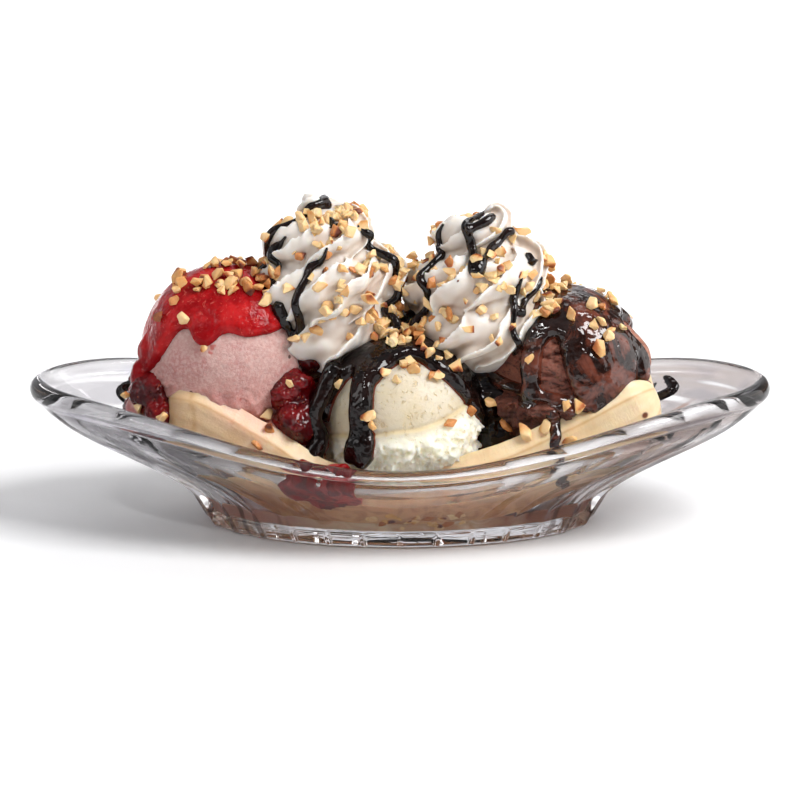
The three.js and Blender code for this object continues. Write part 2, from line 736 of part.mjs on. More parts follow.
addNuts("cream_left", nutsOnCream(CREAMS.left), CREAMS.left.seed);
addNuts("cream_right", nutsOnCream(CREAMS.right), CREAMS.right.seed);
addNuts("strawberry_sauce", nutsOnScoop(strawberry, NUTS_ON_STRAWBERRY), NUTS_ON_STRAWBERRY.seed);
addNuts("fudge_on_chocolate", nutsOnScoop(chocolate, NUTS_ON_CHOCOLATE), NUTS_ON_CHOCOLATE.seed);
addNuts("fudge_on_vanilla", nutsOnScoop(vanilla, NUTS_ON_VANILLA), NUTS_ON_VANILLA.seed);

const FINISHES = {
  dish: [0xdfe6ea, 0.05],
  banana: [0xf0dfae, 0.5],
  strawberry_scoop: [0xe3b0b0, 0.6],
  vanilla_scoop: [0xf4ecc8, 0.6],
  chocolate_scoop: [0x6b4434, 0.6],
  strawberr: [0xc01828, 0.15],
  melted_ice_cream: [0xc9a58c, 0.3],
  fudge: [0x2a1512, 0.15],
  cream: [0xfaf7f0, 0.6],
};

const group = new THREE.Group();
for (const [name, solid] of placed) {
  const [color, roughness] = FINISHES[Object.keys(FINISHES).find((start) => name.startsWith(start))];
  const material = new THREE.MeshStandardMaterial({ color, roughness, metalness: 0 });
  const mesh = new THREE.Mesh(geometryFrom(solid), material);
  mesh.name = name;
  group.add(mesh);
}

export default group;
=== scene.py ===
# %% [markdown]
# # A banana split in a glass boat
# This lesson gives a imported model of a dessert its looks. The model is a long footed glass dish with a
# split banana, three scoops of ice cream, sauces, whipped cream and chopped peanuts. Each cell makes one
# piece or one finish, and says why it is made that way. Lengths are in millimetres until a mesh is handed
# to Blender, which works in metres.

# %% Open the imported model
import math
import bmesh
import bpy
import numpy as np
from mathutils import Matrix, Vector
from mathutils.bvhtree import BVHTree


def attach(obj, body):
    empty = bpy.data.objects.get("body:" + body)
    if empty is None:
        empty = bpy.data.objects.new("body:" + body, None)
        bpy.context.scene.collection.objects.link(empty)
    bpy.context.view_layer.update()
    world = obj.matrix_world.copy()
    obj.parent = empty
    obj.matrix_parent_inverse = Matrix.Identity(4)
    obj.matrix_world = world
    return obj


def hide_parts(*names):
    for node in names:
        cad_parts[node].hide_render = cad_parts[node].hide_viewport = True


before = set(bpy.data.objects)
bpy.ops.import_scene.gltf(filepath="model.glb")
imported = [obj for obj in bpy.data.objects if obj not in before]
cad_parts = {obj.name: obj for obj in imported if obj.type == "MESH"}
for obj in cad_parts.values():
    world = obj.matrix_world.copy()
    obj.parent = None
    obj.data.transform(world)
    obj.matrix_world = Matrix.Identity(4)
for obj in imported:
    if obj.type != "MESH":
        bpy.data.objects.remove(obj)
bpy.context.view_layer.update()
METRES = 0.001
print("nodes:", ", ".join(sorted(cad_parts)))

# %% [markdown]
# ## The camera
# Dessert pictures are taken with a long lens from a little above the rim, so that the dish looks wide and
# calm and its far side doesn't shrink. The camera looks down 16 degrees at a point above the middle of the
# foot.

# %% Camera
LOOK_DOWN = 16  # degrees
CAMERA_DISTANCE = 0.85  # metres
LOOKED_AT = 0.039  # metres above the table
LENS = 120.1

slope = math.radians(LOOK_DOWN)
camera_data = bpy.data.cameras.new("camera")
camera_data.lens = LENS
camera = bpy.data.objects.new("camera", camera_data)
camera.location = (0, -CAMERA_DISTANCE * math.cos(slope), LOOKED_AT + CAMERA_DISTANCE * math.sin(slope))
camera.rotation_euler = (math.pi / 2 - slope, 0, 0)
bpy.context.scene.collection.objects.link(camera)
bpy.context.scene.camera = camera
print("camera at", tuple(round(value, 3) for value in camera.location))

# %% [markdown]
# ## Shader sums as Python
# A node graph is easier to read as a formula. `Signal` wraps the output of a node, so that `1 - mask` or
# `mask * 0.5` adds the Math node that works it out, and `Finish` is a material that adds one node per call.

# %% Signals and finishes
class Signal:
    """The output of a shader node, which can be used in sums like a number."""

    def __init__(self, finish, socket):
        self.finish = finish
        self.socket = socket

    def sum_of(self, operation, first, second):
        settings = {"operation": operation}
        return self.finish.node("ShaderNodeMath", settings, {0: first, 1: second})

    def __add__(self, other):
        return self.sum_of("ADD", self, other)

    def __sub__(self, other):
        return self.sum_of("SUBTRACT", self, other)

    def __rsub__(self, other):
        return self.sum_of("SUBTRACT", other, self)

    def __mul__(self, other):
        return self.sum_of("MULTIPLY", self, other)

    __radd__ = __add__
    __rmul__ = __mul__


class Graph:
    """A shader that is made by adding one node per call."""

    def __init__(self, tree):
        self.tree = tree

    def node(self, kind, settings=None, sockets=None, output=0):
        """Adds a node of that kind: its settings first, then what its sockets hold or are fed by."""
        made = self.tree.nodes.new(kind)
        for label, value in (settings or {}).items():
            if label == "stops":
                self.set_stops(made.color_ramp, value)
            else:
                setattr(made, label, value)
        for label, value in (sockets or {}).items():
            self.feed(made.inputs[label], value)
        return Signal(self, made.outputs[output])

    def set_stops(self, ramp, stops):
        while len(ramp.elements) < len(stops):
            ramp.elements.new(1)
        for element, (place, colour) in zip(ramp.elements, stops):
            element.position = place
            element.color = colour

    def feed(self, socket, value):
        if isinstance(value, Signal):
            self.tree.links.new(value.socket, socket)
        else:
            socket.default_value = value

    def mask(self, signal, low, high):
        """Rises smoothly from 0 to 1 while `signal` goes from `low` to `high`."""
        sockets = {"Value": signal, "From Min": low, "From Max": high}
        return self.node("ShaderNodeMapRange", {"interpolation_type": "SMOOTHSTEP"}, sockets)

    def mix(self, share, first, second):
        """A colour between two colours."""
        sockets = {0: share, 6: first, 7: second}
        return self.node("ShaderNodeMix", {"data_type": "RGBA"}, sockets, 2)


class Finish(Graph):
    """A material made from nodes, with one Principled shader at its end."""

    def __init__(self, name, **plain_values):
        self.material = bpy.data.materials.new(name)
        self.material.use_nodes = True
        super().__init__(self.material.node_tree)
        self.shader = self.tree.nodes["Principled BSDF"]
        for label, value in plain_values.items():
            self.shader.inputs[label.replace("_", " ")].default_value = value

    def place(self):
        """Where a point of the piece is, in metres."""
        return self.node("ShaderNodeTexCoord", output="Object")

    def height(self):
        """How high a point of the piece is above the table, in metres."""
        return self.node("ShaderNodeSeparateXYZ", None, {0: self.place()}, 2)

    def along_x(self):
        """How far to the right a point of the piece is, in metres."""
        return self.node("ShaderNodeSeparateXYZ", None, {0: self.place()}, 0)

    def squashed_place(self, factors):
        """Where a point of the piece is, with each direction stretched by its own factor."""
        return self.node("ShaderNodeVectorMath", {"operation": "MULTIPLY"}, {0: self.place(), 1: factors})

    def away_from(self, spot, place=None):
        """How far a point of the piece is from a spot, in metres."""
        sockets = {0: place or self.place(), 1: spot}
        return self.node("ShaderNodeVectorMath", {"operation": "DISTANCE"}, sockets, 1)

    def from_seeds(self, per_metre):
        """How far a point is from the nearest of many scattered seeds, as a share of their spacing."""
        return self.node("ShaderNodeTexVoronoi", None, {"Vector": self.place(), "Scale": per_metre})

    def noise(self, size_mm, detail=2, roughness=0.5, where=None, distortion=0):
        """Soft random patches about `size_mm` apart, from 0 to 1."""
        where = where or self.place()
        sockets = {"Vector": where, "Scale": 1000 / size_mm, "Detail": detail,
                   "Roughness": roughness, "Distortion": distortion}
        return self.node("ShaderNodeTexNoise", None, sockets, "Fac")

    def worked(self, label):
        """A number that was worked out for every point of the mesh."""
        return self.node("ShaderNodeAttribute", {"attribute_name": label}, None, "Fac")

    def bump(self, height, distance_mm, strength=1.0):
        """Relief that is too fine for the mesh."""
        sockets = {"Height": height, "Distance": distance_mm * METRES, "Strength": strength}
        self.feed(self.shader.inputs["Normal"], self.node("ShaderNodeBump", None, sockets))

    def glow(self, share, reach, depth_mm):
        """Lets light go in and come out again. `reach` says how far red, green and blue go."""
        sockets = self.shader.inputs
        sockets["Subsurface Weight"].default_value = share
        sockets["Subsurface Radius"].default_value = reach
        sockets["Subsurface Scale"].default_value = depth_mm * METRES

    def painted_over(self, colour, layers):
        """Lays paints over a colour one after the other, each as far as its mask lets it."""
        for share, over in layers:
            colour = self.mix(share, colour, over)
        return colour

    def colour(self, signal):
        self.feed(self.shader.inputs["Base Color"], signal)

    def gloss(self, signal):
        self.feed(self.shader.inputs["Roughness"], signal)


def paint(red, green, blue):
    """A colour as it looks on a screen, from 0 to 255, as the shader wants it."""
    shares = [value / 255 for value in (red, green, blue)]
    return (*[s / 12.92 if s <= 0.04045 else ((s + 0.055) / 1.055) ** 2.4 for s in shares], 1)


# %% [markdown]
# ## Shapes from numbers
# Food is uneven at every scale. Each piece starts from a plain form and is pushed in and out by bumps of a
# few sizes: large ones for its shape, small ones for its texture. The bumps come from a repeatable table of
# random numbers in space, so that the same dessert is made every time.

# %% Bumps and curves
def smooth_step(low, high, value):
    share = np.clip((value - low) / (high - low), 0, 1)
    return share * share * (3 - 2 * share)


def mixed(low, high, share):
    return low + (high - low) * share


def turn_between(first, second):
    """The difference of two angles in degrees, from -180 to 180."""
    return (first - second + 180) % 360 - 180


def cell_value(cell, seed):
    """A repeatable random number from -1 to 1 for every whole-number cell of space."""
    mixed_bits = cell[:, 0] * 73856093 ^ cell[:, 1] * 19349663 ^ cell[:, 2] * 83492791 ^ seed * 2654435
    mixed_bits = (mixed_bits ^ (mixed_bits >> 13)) * 1274126177 & 0xFFFFFFFF
    mixed_bits = (mixed_bits ^ (mixed_bits >> 16)) * 668265263 & 0xFFFFFFFF
    return (mixed_bits ^ (mixed_bits >> 15)) / 2147483648.0 - 1


def bumps(places, size, seed):
    """Soft bumps about `size` apart, from -1 to 1, at every row of `places`."""
    scaled = places / size
    low = np.floor(scaled).astype(np.int64)
    ease = smooth_step(0, 1, scaled - low)
    total = np.zeros(len(places))
    for corner in range(8):
        step = np.array([corner & 1, corner >> 1 & 1, corner >> 2 & 1])
        weight = np.prod(np.where(step, ease, 1 - ease), axis=1)
        total += weight * cell_value(low + step, seed)
    return total


def crags(places, size, seed, layers=3):
    """Bumps with smaller bumps on them, each layer half as large as the last."""
    return sum(bumps(places, size / 2 ** i, seed + i) / 2 ** i for i in range(layers))


def curve_through(stops, count):
    """A smooth curve through a few points, as `count` evenly spaced points."""
    stops = np.array(stops, float)
    padded = np.vstack([2 * stops[0] - stops[1], stops, 2 * stops[-1] - stops[-2]])
    pieces = []
    for i in range(len(stops) - 1):
        before, start, end, after = padded[i:i + 4]
        t = np.linspace(0, 1, 24, endpoint=False)[:, None]
        pieces.append(0.5 * (2 * start + (end - before) * t
                             + (2 * before - 5 * start + 4 * end - after) * t ** 2
                             + (3 * start - before - 3 * end + after) * t ** 3))
    fine = np.vstack(pieces + [stops[-1:]])
    walked = np.concatenate([[0], np.cumsum(np.linalg.norm(np.diff(fine, axis=0), axis=1))])
    even = np.linspace(0, walked[-1], count)
    return np.stack([np.interp(even, walked, fine[:, i]) for i in range(fine.shape[1])], axis=1)


def unit(vectors):
    return vectors / np.linalg.norm(vectors, axis=-1, keepdims=True)


print("a few bumps:", np.round(bumps(np.arange(9.0).reshape(3, 3), 2, 1), 2))

# %% [markdown]
# ## From arrays to pieces
# A skin is a stack of rings closed by a point at each end, which is how most of the food is described. A
# ball is a set of evenly spread directions, pushed out by a rule. Both end in `make_piece`, which hands the
# mesh to Blender, gives it its finish and lets it ride on the model.

# %% Piece makers
def skin_faces(rows, columns):
    """The faces of a stack of rings whose first and last vertex are single points."""
    ring = np.arange(columns)
    after = (ring + 1) % columns
    faces = [(0, 1 + b, 1 + a) for a, b in zip(ring, after)]
    for row in range(rows - 1):
        start = 1 + row * columns
        faces += list(zip(start + ring, start + after, start + columns + after, start + columns + ring))
    start = 1 + (rows - 1) * columns
    last = 1 + rows * columns
    faces += [(last, start + a, start + b) for a, b in zip(ring, after)]
    return [tuple(int(i) for i in face) for face in faces]


def skin(first, rings, last):
    """Vertices and faces of a closed skin over rings with equal numbers of points."""
    rings = np.array(rings)
    vertices = np.vstack([[first], rings.reshape(-1, 3), [last]])
    return vertices, skin_faces(rings.shape[0], rings.shape[1])


def ball_ways(level):
    """Evenly spread directions, and the triangles between them."""
    builder = bmesh.new()
    bmesh.ops.create_icosphere(builder, subdivisions=level, radius=1)
    builder.verts.ensure_lookup_table()
    ways = unit(np.array([vertex.co[:] for vertex in builder.verts], float))
    faces = [tuple(vertex.index for vertex in face.verts) for face in builder.faces]
    builder.free()
    return ways, faces


def make_piece(name, vertices, faces, finish, stands_for=(), values=None):
    """A mesh in the scene. `values` are numbers for every vertex that the finish can read."""
    mesh = bpy.data.meshes.new(name)
    mesh.from_pydata((np.asarray(vertices) * METRES).tolist(), [], faces)
    for label, numbers in (values or {}).items():
        attribute = mesh.attributes.new(label, "FLOAT", "POINT")
        attribute.data.foreach_set("value", np.asarray(numbers, np.float32))
    mesh.shade_smooth()
    mesh.materials.append(finish.material)
    piece = bpy.data.objects.new(name, mesh)
    bpy.context.scene.collection.objects.link(piece)
    outward_side(mesh)
    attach(piece, "root")
    if stands_for:
        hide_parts(*stands_for)
    print(name, len(mesh.polygons), "faces")
    return piece


def note_values(piece, label, numbers):
    """Stores a number for every vertex of a piece that is already made."""
    attribute = piece.data.attributes.new(label, "FLOAT", "POINT")
    attribute.data.foreach_set("value", np.asarray(numbers, np.float32))


def mesh_of(piece):
    """The vertices of a piece in millimetres, and its faces."""
    vertices = np.zeros(len(piece.data.vertices) * 3)
    piece.data.vertices.foreach_get("co", vertices)
    return vertices.reshape(-1, 3) / METRES, [tuple(face.vertices) for face in piece.data.polygons]


def outward_side(mesh):
    """Turns a closed mesh so that its faces look outwards."""
    builder = bmesh.new()
    builder.from_mesh(mesh)
    if builder.calc_volume(signed=True) < 0:
        bmesh.ops.reverse_faces(builder, faces=builder.faces)
    builder.to_mesh(mesh)
    builder.free()


# %% [markdown]
# ## Floor and studio light
# A white table that is lit a little too brightly disappears in the picture, and only the soft shadow stays.
# One wide lamp high at the front right throws that shadow back to the left. Two dim panels at the sides
# give the dark sauces something to mirror, and a narrow lamp draws thin lines of light on them. A small
# lamp behind edges the food, and a wide one lights the table behind the dish. Clear glass only shows what
# is round it, and it needs both light and dark to be seen. So the room is white low down behind the dish,
# brown at its right, and grey with dark bands everywhere else.

# %% Floor, lamps and room
def lamp(name, place, aim, width, height, watts):
    """A rectangular lamp that is aimed at a spot, all in metres."""
    data = bpy.data.lights.new(name, "AREA")
    data.shape = "RECTANGLE"
    data.size = width
    data.size_y = height
    data.energy = watts
    made = bpy.data.objects.new(name, data)
    made.location = place
    made.rotation_mode = "QUATERNION"
    made.rotation_quaternion = (Vector(aim) - Vector(place)).to_track_quat("-Z", "Y")
    bpy.context.scene.collection.objects.link(made)
    return made


lamp("key_lamp", (1.42, -0.78, 2.1), (0, 0, 0.03), 1.2, 1.2, 70)
lamp("right_panel", (1.7, 0.1, 0.75), (0, 0, 0.06), 2.0, 1.7, 18)
lamp("spark_lamp", (-0.8, -1.0, 1.5), (0, 0, 0.06), 0.5, 0.06, 4)
lamp("left_panel", (-1.5, -0.6, 0.9), (0, 0, 0.06), 0.6, 1.0, 4)
lamp("rear_lamp", (0.3, 1.6, 1.3), (0, 0, 0.03), 1.0, 0.5, 4)
backdrop_lamp = lamp("backdrop_lamp", (0, 1.15, 1.1), (0, 1.25, 0), 2.6, 1.0, 26)
backdrop_lamp.data.spread = math.radians(95)

# The bands of the room: how far up each lies, and its grey.
ROOM_GREYS = [(0.0, 0.6), (0.1, 0.5), (0.18, 0.06), (0.3, 0.05), (0.4, 0.3), (0.62, 0.34), (0.72, 0.1),
              (1.0, 0.36)]
room = bpy.data.worlds.new("room")
room.use_nodes = True
walls = Graph(room.node_tree)
sight = walls.node("ShaderNodeTexCoord", output="Generated")
upward = walls.node("ShaderNodeSeparateXYZ", None, {0: sight}, 2)
band_stops = [(height, (grey, grey, grey * 1.04, 1)) for height, grey in ROOM_GREYS]
bands = walls.node("ShaderNodeValToRGB", {"stops": band_stops}, {0: upward})
screens = walls.node("ShaderNodeTexNoise", None, {"Vector": sight, "Scale": 2.4, "Detail": 1.0}, "Fac")
dark_screens = walls.mask(screens, 0.47, 0.4)
studio = walls.mix(dark_screens * 0.9, bands, (0.02, 0.02, 0.022, 1))
rightward = walls.node("ShaderNodeSeparateXYZ", None, {0: sight}, 0)
backward = walls.node("ShaderNodeSeparateXYZ", None, {0: sight}, 1)
white_sweep = walls.mix(walls.mask(rightward, 0.1, 0.6), (0.66, 0.66, 0.69, 1), (0.16, 0.12, 0.1, 1))
low_behind = walls.mask(backward, 0.0, 0.35) * walls.mask(upward, 0.55, 0.3)
room_light = walls.mix(low_behind, studio, white_sweep)
walls.feed(room.node_tree.nodes["Background"].inputs["Color"], room_light)
bpy.context.scene.world = room

table_finish = Finish("white_table", Roughness=0.6)
faint = table_finish.mask(table_finish.noise(400, 1), 0.3, 0.7)
table_finish.colour(table_finish.mix(faint, paint(238, 238, 239), paint(242, 242, 242)))
TABLE_REACH = 4000
TABLE_DROP = -0.15
corners = [(-TABLE_REACH, -TABLE_REACH, TABLE_DROP), (TABLE_REACH, -TABLE_REACH, TABLE_DROP),
           (TABLE_REACH, TABLE_REACH, TABLE_DROP), (-TABLE_REACH, TABLE_REACH, TABLE_DROP)]
table_mesh = bpy.data.meshes.new("table")
table_mesh.from_pydata((np.array(corners) * METRES).tolist(), [], [(0, 1, 2, 3)])
table_mesh.materials.append(table_finish.material)
table = bpy.data.objects.new("table", table_mesh)
bpy.context.scene.collection.objects.link(table)
bpy.context.scene.view_settings.view_transform = "Standard"

# %% [markdown]
# ## The glass dish
# The dish is pressed glass: a thick wall that leans out from an oval foot, a rim that rises to both ends, a
# rounded bead round the lip, and flutes that, at both ends, run down the wall and into the foot. It could
# be carved from a block, but a stack of oval rings says the same in a few numbers, and the flutes are then
# only a ripple in those rings.

# %% Dish form
HALF_LENGTH = 117.5
HALF_WIDTH = 49
FOOT_HALF_LENGTH = 62.5
FOOT_HALF_WIDTH = 32
END_HEIGHT = 43.5
SIDE_HEIGHT = 27.5
FLOOR_HEIGHT = 5
WALL = 6
FLUTES = 28
FLUTE_DEPTH = 3.0
BEAD_AT_END = 3.4  # half the height of the rim bead
BEAD_AT_SIDE = 2.0
SHEER_POWER = 5.2  # how late the rim starts to rise towards the ends
FLARE_FROM = 0.2  # shares of the wall's height between which it flares most
FLARE_TO = 0.91
LEANING = 0.45  # share of its flare that the wall makes evenly on its way up
HOLLOW_INSET = 5.6  # from the outside of the wall to the hollow
LIP_SHARE = 0.6  # how far up the inner side of the bead the hollow begins

def sheer(angle):
    """0 at the two ends of the dish, and 1 halfway along its sides."""
    return np.abs(np.sin(angle)) ** SHEER_POWER

def rim_height(angle):
    return mixed(END_HEIGHT, SIDE_HEIGHT, sheer(angle))

def bead_half(angle):
    return mixed(BEAD_AT_END, BEAD_AT_SIDE, sheer(angle))


def flare_at(share):
    """How far the wall has flared out at a share of its height: fastest halfway up."""
    return mixed(smooth_step(FLARE_FROM, FLARE_TO, share), share, LEANING)


def oval(angle, share, inset, height):
    """Points on the oval that the wall has at a share of its height, moved in by `inset`."""
    flare = flare_at(share)
    long = mixed(FOOT_HALF_LENGTH, HALF_LENGTH, flare)
    wide = mixed(FOOT_HALF_WIDTH, HALF_WIDTH, flare)
    normal = unit(np.stack([wide * np.cos(angle), long * np.sin(angle)], axis=1))
    x = long * np.cos(angle) - normal[:, 0] * inset
    y = wide * np.sin(angle) - normal[:, 1] * inset
    return np.stack([x, y, height + 0 * angle], axis=1)


def hollow_axes(share):
    """Half the length and half the width of the dish's hollow at a share of its height."""
    flare = flare_at(share)
    return (mixed(FOOT_HALF_LENGTH, HALF_LENGTH, flare) - HOLLOW_INSET,
            mixed(FOOT_HALF_WIDTH, HALF_WIDTH, flare) - HOLLOW_INSET)


def lip_height(angle):
    return rim_height(angle) + LIP_SHARE * bead_half(angle)


def even_angles(count):
    """Angles round the dish that are equally far apart along its foot."""
    fine = np.linspace(0, 2 * np.pi, 4001)
    middle = (fine[1:] + fine[:-1]) / 2
    steps = np.hypot(FOOT_HALF_LENGTH * np.sin(middle), FOOT_HALF_WIDTH * np.cos(middle))
    walked = np.concatenate([[0], np.cumsum(steps)])
    return np.interp(np.arange(count) * walked[-1] / count, walked, fine)


# %% Dish mesh
COLUMNS_PER_FLUTE = 16
columns = FLUTES * COLUMNS_PER_FLUTE
round_dish = even_angles(columns)
scallop = np.abs(np.sin(np.pi * np.arange(columns) / COLUMNS_PER_FLUTE))
seam = np.arange(columns) % COLUMNS_PER_FLUTE == 0
at_ends = np.abs(np.cos(round_dish))


def outside_ring(share, inset, depth):
    return oval(round_dish, share, inset + depth, share * rim_height(round_dish))


# The outside of the foot: height, how far it is set in, and how deep the seams between its flutes are.
FOOT_STOPS = [(0, 1.2, 0), (0.2, 0.7, 0.3), (0.7, 0.35, 0.7), (1.6, 0.3, 0.8), (3.6, 0.3, 0.8),
              (4.5, 0.4, 0.8), (5.0, 0.7, 0.5), (5.6, 1.3, 0.2), (6.4, 1.2, 0)]
BEAD_TURNS = np.radians(np.linspace(-60, 145, 15))
# Rings down the hollow, as shares of its height, and over its flat floor, as shares of the floor's size.
HOLLOW_SHARES = (0.97, 0.93, 0.86, 0.78, 0.7, 0.62, 0.54, 0.46, 0.38, 0.3, 0.22, 0.15, 0.09, 0.05,
                 0.025, 0.01, 0)
FLOOR_SHARES = (0.98, 0.93, 0.8, 0.5, 0.2)

dish_rings = []
to_the_foot = at_ends ** 4
for height, inset, seams in FOOT_STOPS:
    run_in = FLUTE_DEPTH * (0.45 + 0.07 * height) * scallop
    depth = mixed(seams * seam, run_in, to_the_foot)
    ledge = mixed(inset, max(0.3, 1.2 - 2.5 * height), to_the_foot)
    dish_rings.append(outside_ring(height / rim_height(round_dish), ledge, depth))
foot_share = FOOT_STOPS[-1][0] / rim_height(round_dish)
for climb in np.linspace(0.06, 0.9, 20):
    share = mixed(foot_share, 1, climb)
    inset = mixed(np.interp(climb, [0, 0.25, 0.6, 0.84, 0.9], [1.2, 0.4, 0.3, 0.3, 0.6]), 0.3, to_the_foot)
    low_depth = mixed(0.4, 0.9, to_the_foot)
    high_depth = np.interp(climb, [0.1, 0.5, 0.8, 0.9], [1, 0.9, 0.3, 0])
    fluted = mixed(low_depth, high_depth, smooth_step(0, 0.1, climb)) * at_ends ** 1.2
    dish_rings.append(outside_ring(share, inset, fluted * FLUTE_DEPTH * scallop))
for turn in BEAD_TURNS:
    inset = WALL / 2 * (1 - np.cos(turn))
    height = rim_height(round_dish) + bead_half(round_dish) * np.sin(turn)
    dish_rings.append(oval(round_dish, 1.0, inset, height))
for share in HOLLOW_SHARES:
    long, wide = hollow_axes(share)
    height = FLOOR_HEIGHT + (lip_height(round_dish) - FLOOR_HEIGHT) * share
    dish_rings.append(np.stack([long * np.cos(round_dish), wide * np.sin(round_dish), height], axis=1))
for shrink in FLOOR_SHARES:
    x = long * shrink * np.cos(round_dish)
    y = wide * shrink * np.sin(round_dish)
    dish_rings.append(np.stack([x, y, FLOOR_HEIGHT + 0 * round_dish], axis=1))
dish_vertices, dish_faces = skin((0, 0, 0), dish_rings, (0, 0, FLOOR_HEIGHT))

# %% [markdown]
# Clear glass is almost all refraction. Faint waves in the surface, which the mould leaves, make the bright
# and dark shapes in it wander as they do in pressed glass. Thick glass also mirrors dark streaks of the room:
# along the rim, and up the flutes at both ends. These reflections are painted into the glass's colour, as
# grey painted reflections, browner ones beside the chocolate and pale blue-grey ones inside the hollow. They
# are drawn in two numbers that are worked out for every vertex: how far it is round the dish, and how far
# along the wall from the middle of the foot.

# %% Dish finish
ring_spots = np.array(dish_rings)
steps = np.linalg.norm(np.diff(ring_spots, axis=0), axis=2)
walked = np.vstack([np.zeros(columns), np.cumsum(steps, axis=0)])
rings_inside = len(HOLLOW_SHARES) + len(FLOOR_SHARES)
rim_walk = walked[len(dish_rings) - rings_inside - 9]  # the ninth last ring of the bead
wall_values = {
    "round_cos": np.concatenate([[0], np.tile(np.cos(round_dish), len(dish_rings)), [0]]),
    "round_sin": np.concatenate([[0], np.tile(np.sin(round_dish), len(dish_rings)), [0]]),
    "from_rim": np.concatenate([[-90], (walked - rim_walk).ravel(), [90]]),
    "at_ends": np.concatenate([[0], np.tile(at_ends, len(dish_rings)), [0]]),
}
print("rim line at", np.round(rim_walk.min(), 1), "to", np.round(rim_walk.max(), 1), "mm of wall")

glass = Finish("pressed_glass", Roughness=0.0, IOR=1.5, Transmission_Weight=0.988,
               Specular_Tint=(0.45, 0.45, 0.45, 1))


def wall_noise(round_mm, climb_mm, detail, seed):
    """Streaks that are `round_mm` long round the dish and `climb_mm` along its wall."""
    turn = 90 / round_mm
    place = glass.node("ShaderNodeCombineXYZ", None, {
        0: glass.worked("round_cos") * turn + seed, 1: glass.worked("round_sin") * turn,
        2: glass.worked("from_rim") * (1 / climb_mm)})
    return glass.node("ShaderNodeTexNoise", None, {"Vector": place, "Scale": 1.0, "Detail": detail}, "Fac")


ends = glass.worked("at_ends")
from_rim = glass.worked("from_rim")
# Painted reflections are laid into the glass's colour below: grey ones, blue-grey ones inside, and browner
# ones beside the chocolate.
chocolate_reflection_side = glass.mask(glass.along_x(), 0.02, 0.075)
under_rim = glass.mask(from_rim, -13, -9) * glass.mask(from_rim, 1, -2)
low_wall = glass.mask(from_rim, -15, -22)
painted_flute_reflections = glass.mask(wall_noise(8, 40, 1.0, 3.0), 0.53, 0.58) * low_wall * glass.mask(ends, 0.42, 0.7)
flute_reflection_colour = glass.mix(chocolate_reflection_side, paint(92, 88, 94), paint(122, 84, 70))
painted_rim_reflections = glass.mask(wall_noise(70, 2.6, 2.0, 7.0), 0.36, 0.6) * under_rim
rim_reflection_colour = glass.mix(chocolate_reflection_side, paint(168, 165, 168), paint(132, 112, 102))
end_wall = glass.mask(ends, 0.45, 0.68) * glass.mask(from_rim, 1, -3) * glass.mask(from_rim, -45, -35)
painted_end_reflections = glass.mask(wall_noise(60, 5, 1.0, 11.0) + chocolate_reflection_side * 0.08, 0.4, 0.54) * end_wall
end_reflection_colour = glass.mix(chocolate_reflection_side, paint(160, 156, 162), paint(92, 70, 62))
painted_inner_reflections = glass.mask(wall_noise(25, 9, 1.0, 13.0), 0.45, 0.62) * glass.mask(from_rim, 5, 10)
glass.colour(glass.painted_over(paint(246, 245, 246), [
    (painted_inner_reflections * 0.8, paint(206, 207, 218)),
    (painted_end_reflections * 0.8, end_reflection_colour),
    (painted_flute_reflections * 0.85, flute_reflection_colour),
    (painted_rim_reflections * 0.4, rim_reflection_colour),
]))
glass.bump(wall_noise(70, 3.5, 1.0, 1.0) * under_rim * 0.3 + wall_noise(30, 18, 0.0, 5.0) * 1.5, 1.0, 0.5)
make_piece("glass_dish", dish_vertices, dish_faces, glass, ["dish"], wall_values)


# %% [markdown]
# ## Food against the wall
# Where food lies against glass there is no air between them, and the glass shows its colour brightly. So
# each piece that would cross the wall is pressed back to the wall's inner face, and reaches a hair into the
# glass.

# %% Press food to the wall
HOLLOW_GUESS = (112, 44)  # half its length and width, as a start that the loop then improves

def pressed_to_dish(places, reach=0.15):
    """Points that lie in the glass or below the floor come back to its inner face."""
    x, y, z = places.T
    long, wide = HOLLOW_GUESS
    angle = np.arctan2(y / wide, x / long)
    for _ in range(4):
        share = np.clip((z - FLOOR_HEIGHT) / (lip_height(angle) - FLOOR_HEIGHT), 0, 1.0)
        long, wide = hollow_axes(share)
        angle = np.arctan2(y / wide, x / long)
    outside = np.hypot(x / (long + reach), y / (wide + reach))
    shrink = 1 / np.maximum(outside, 1)
    return np.stack([x * shrink, y * shrink, np.maximum(z, FLOOR_HEIGHT - reach)], axis=1)


# %% [markdown]
# ## The banana
# A peeled banana is cut in half lengthwise, and each half lies with its cut face up against the ice cream.
# Its round side keeps the faint flats and ridges that the peel leaves, with fine fibres along them.

# %% Banana halves
BANANA_RADIUS = 14
BANANA_END = 11
BANANA_LINE = [(-72, -11.5, 42.5), (-62, -14.5, 40), (-46, -18.5, 31), (-25, -21.5, 19), (2, -21.5, 16),
               (30, -20.5, 23), (52, -17, 32), (68, -13, 39.5), (80, -10, 45)]
CUT_TILT = math.radians(45)
BANANA_SECTIONS = 150
BANANA_STEPS = 1200  # fine steps along the middle line, between which the sections are placed
BANANA_RIDGES = 8  # in a whole turn
CUT_MARK = 100  # added to the crosswise numbers of the cut face, to tell it from the round side


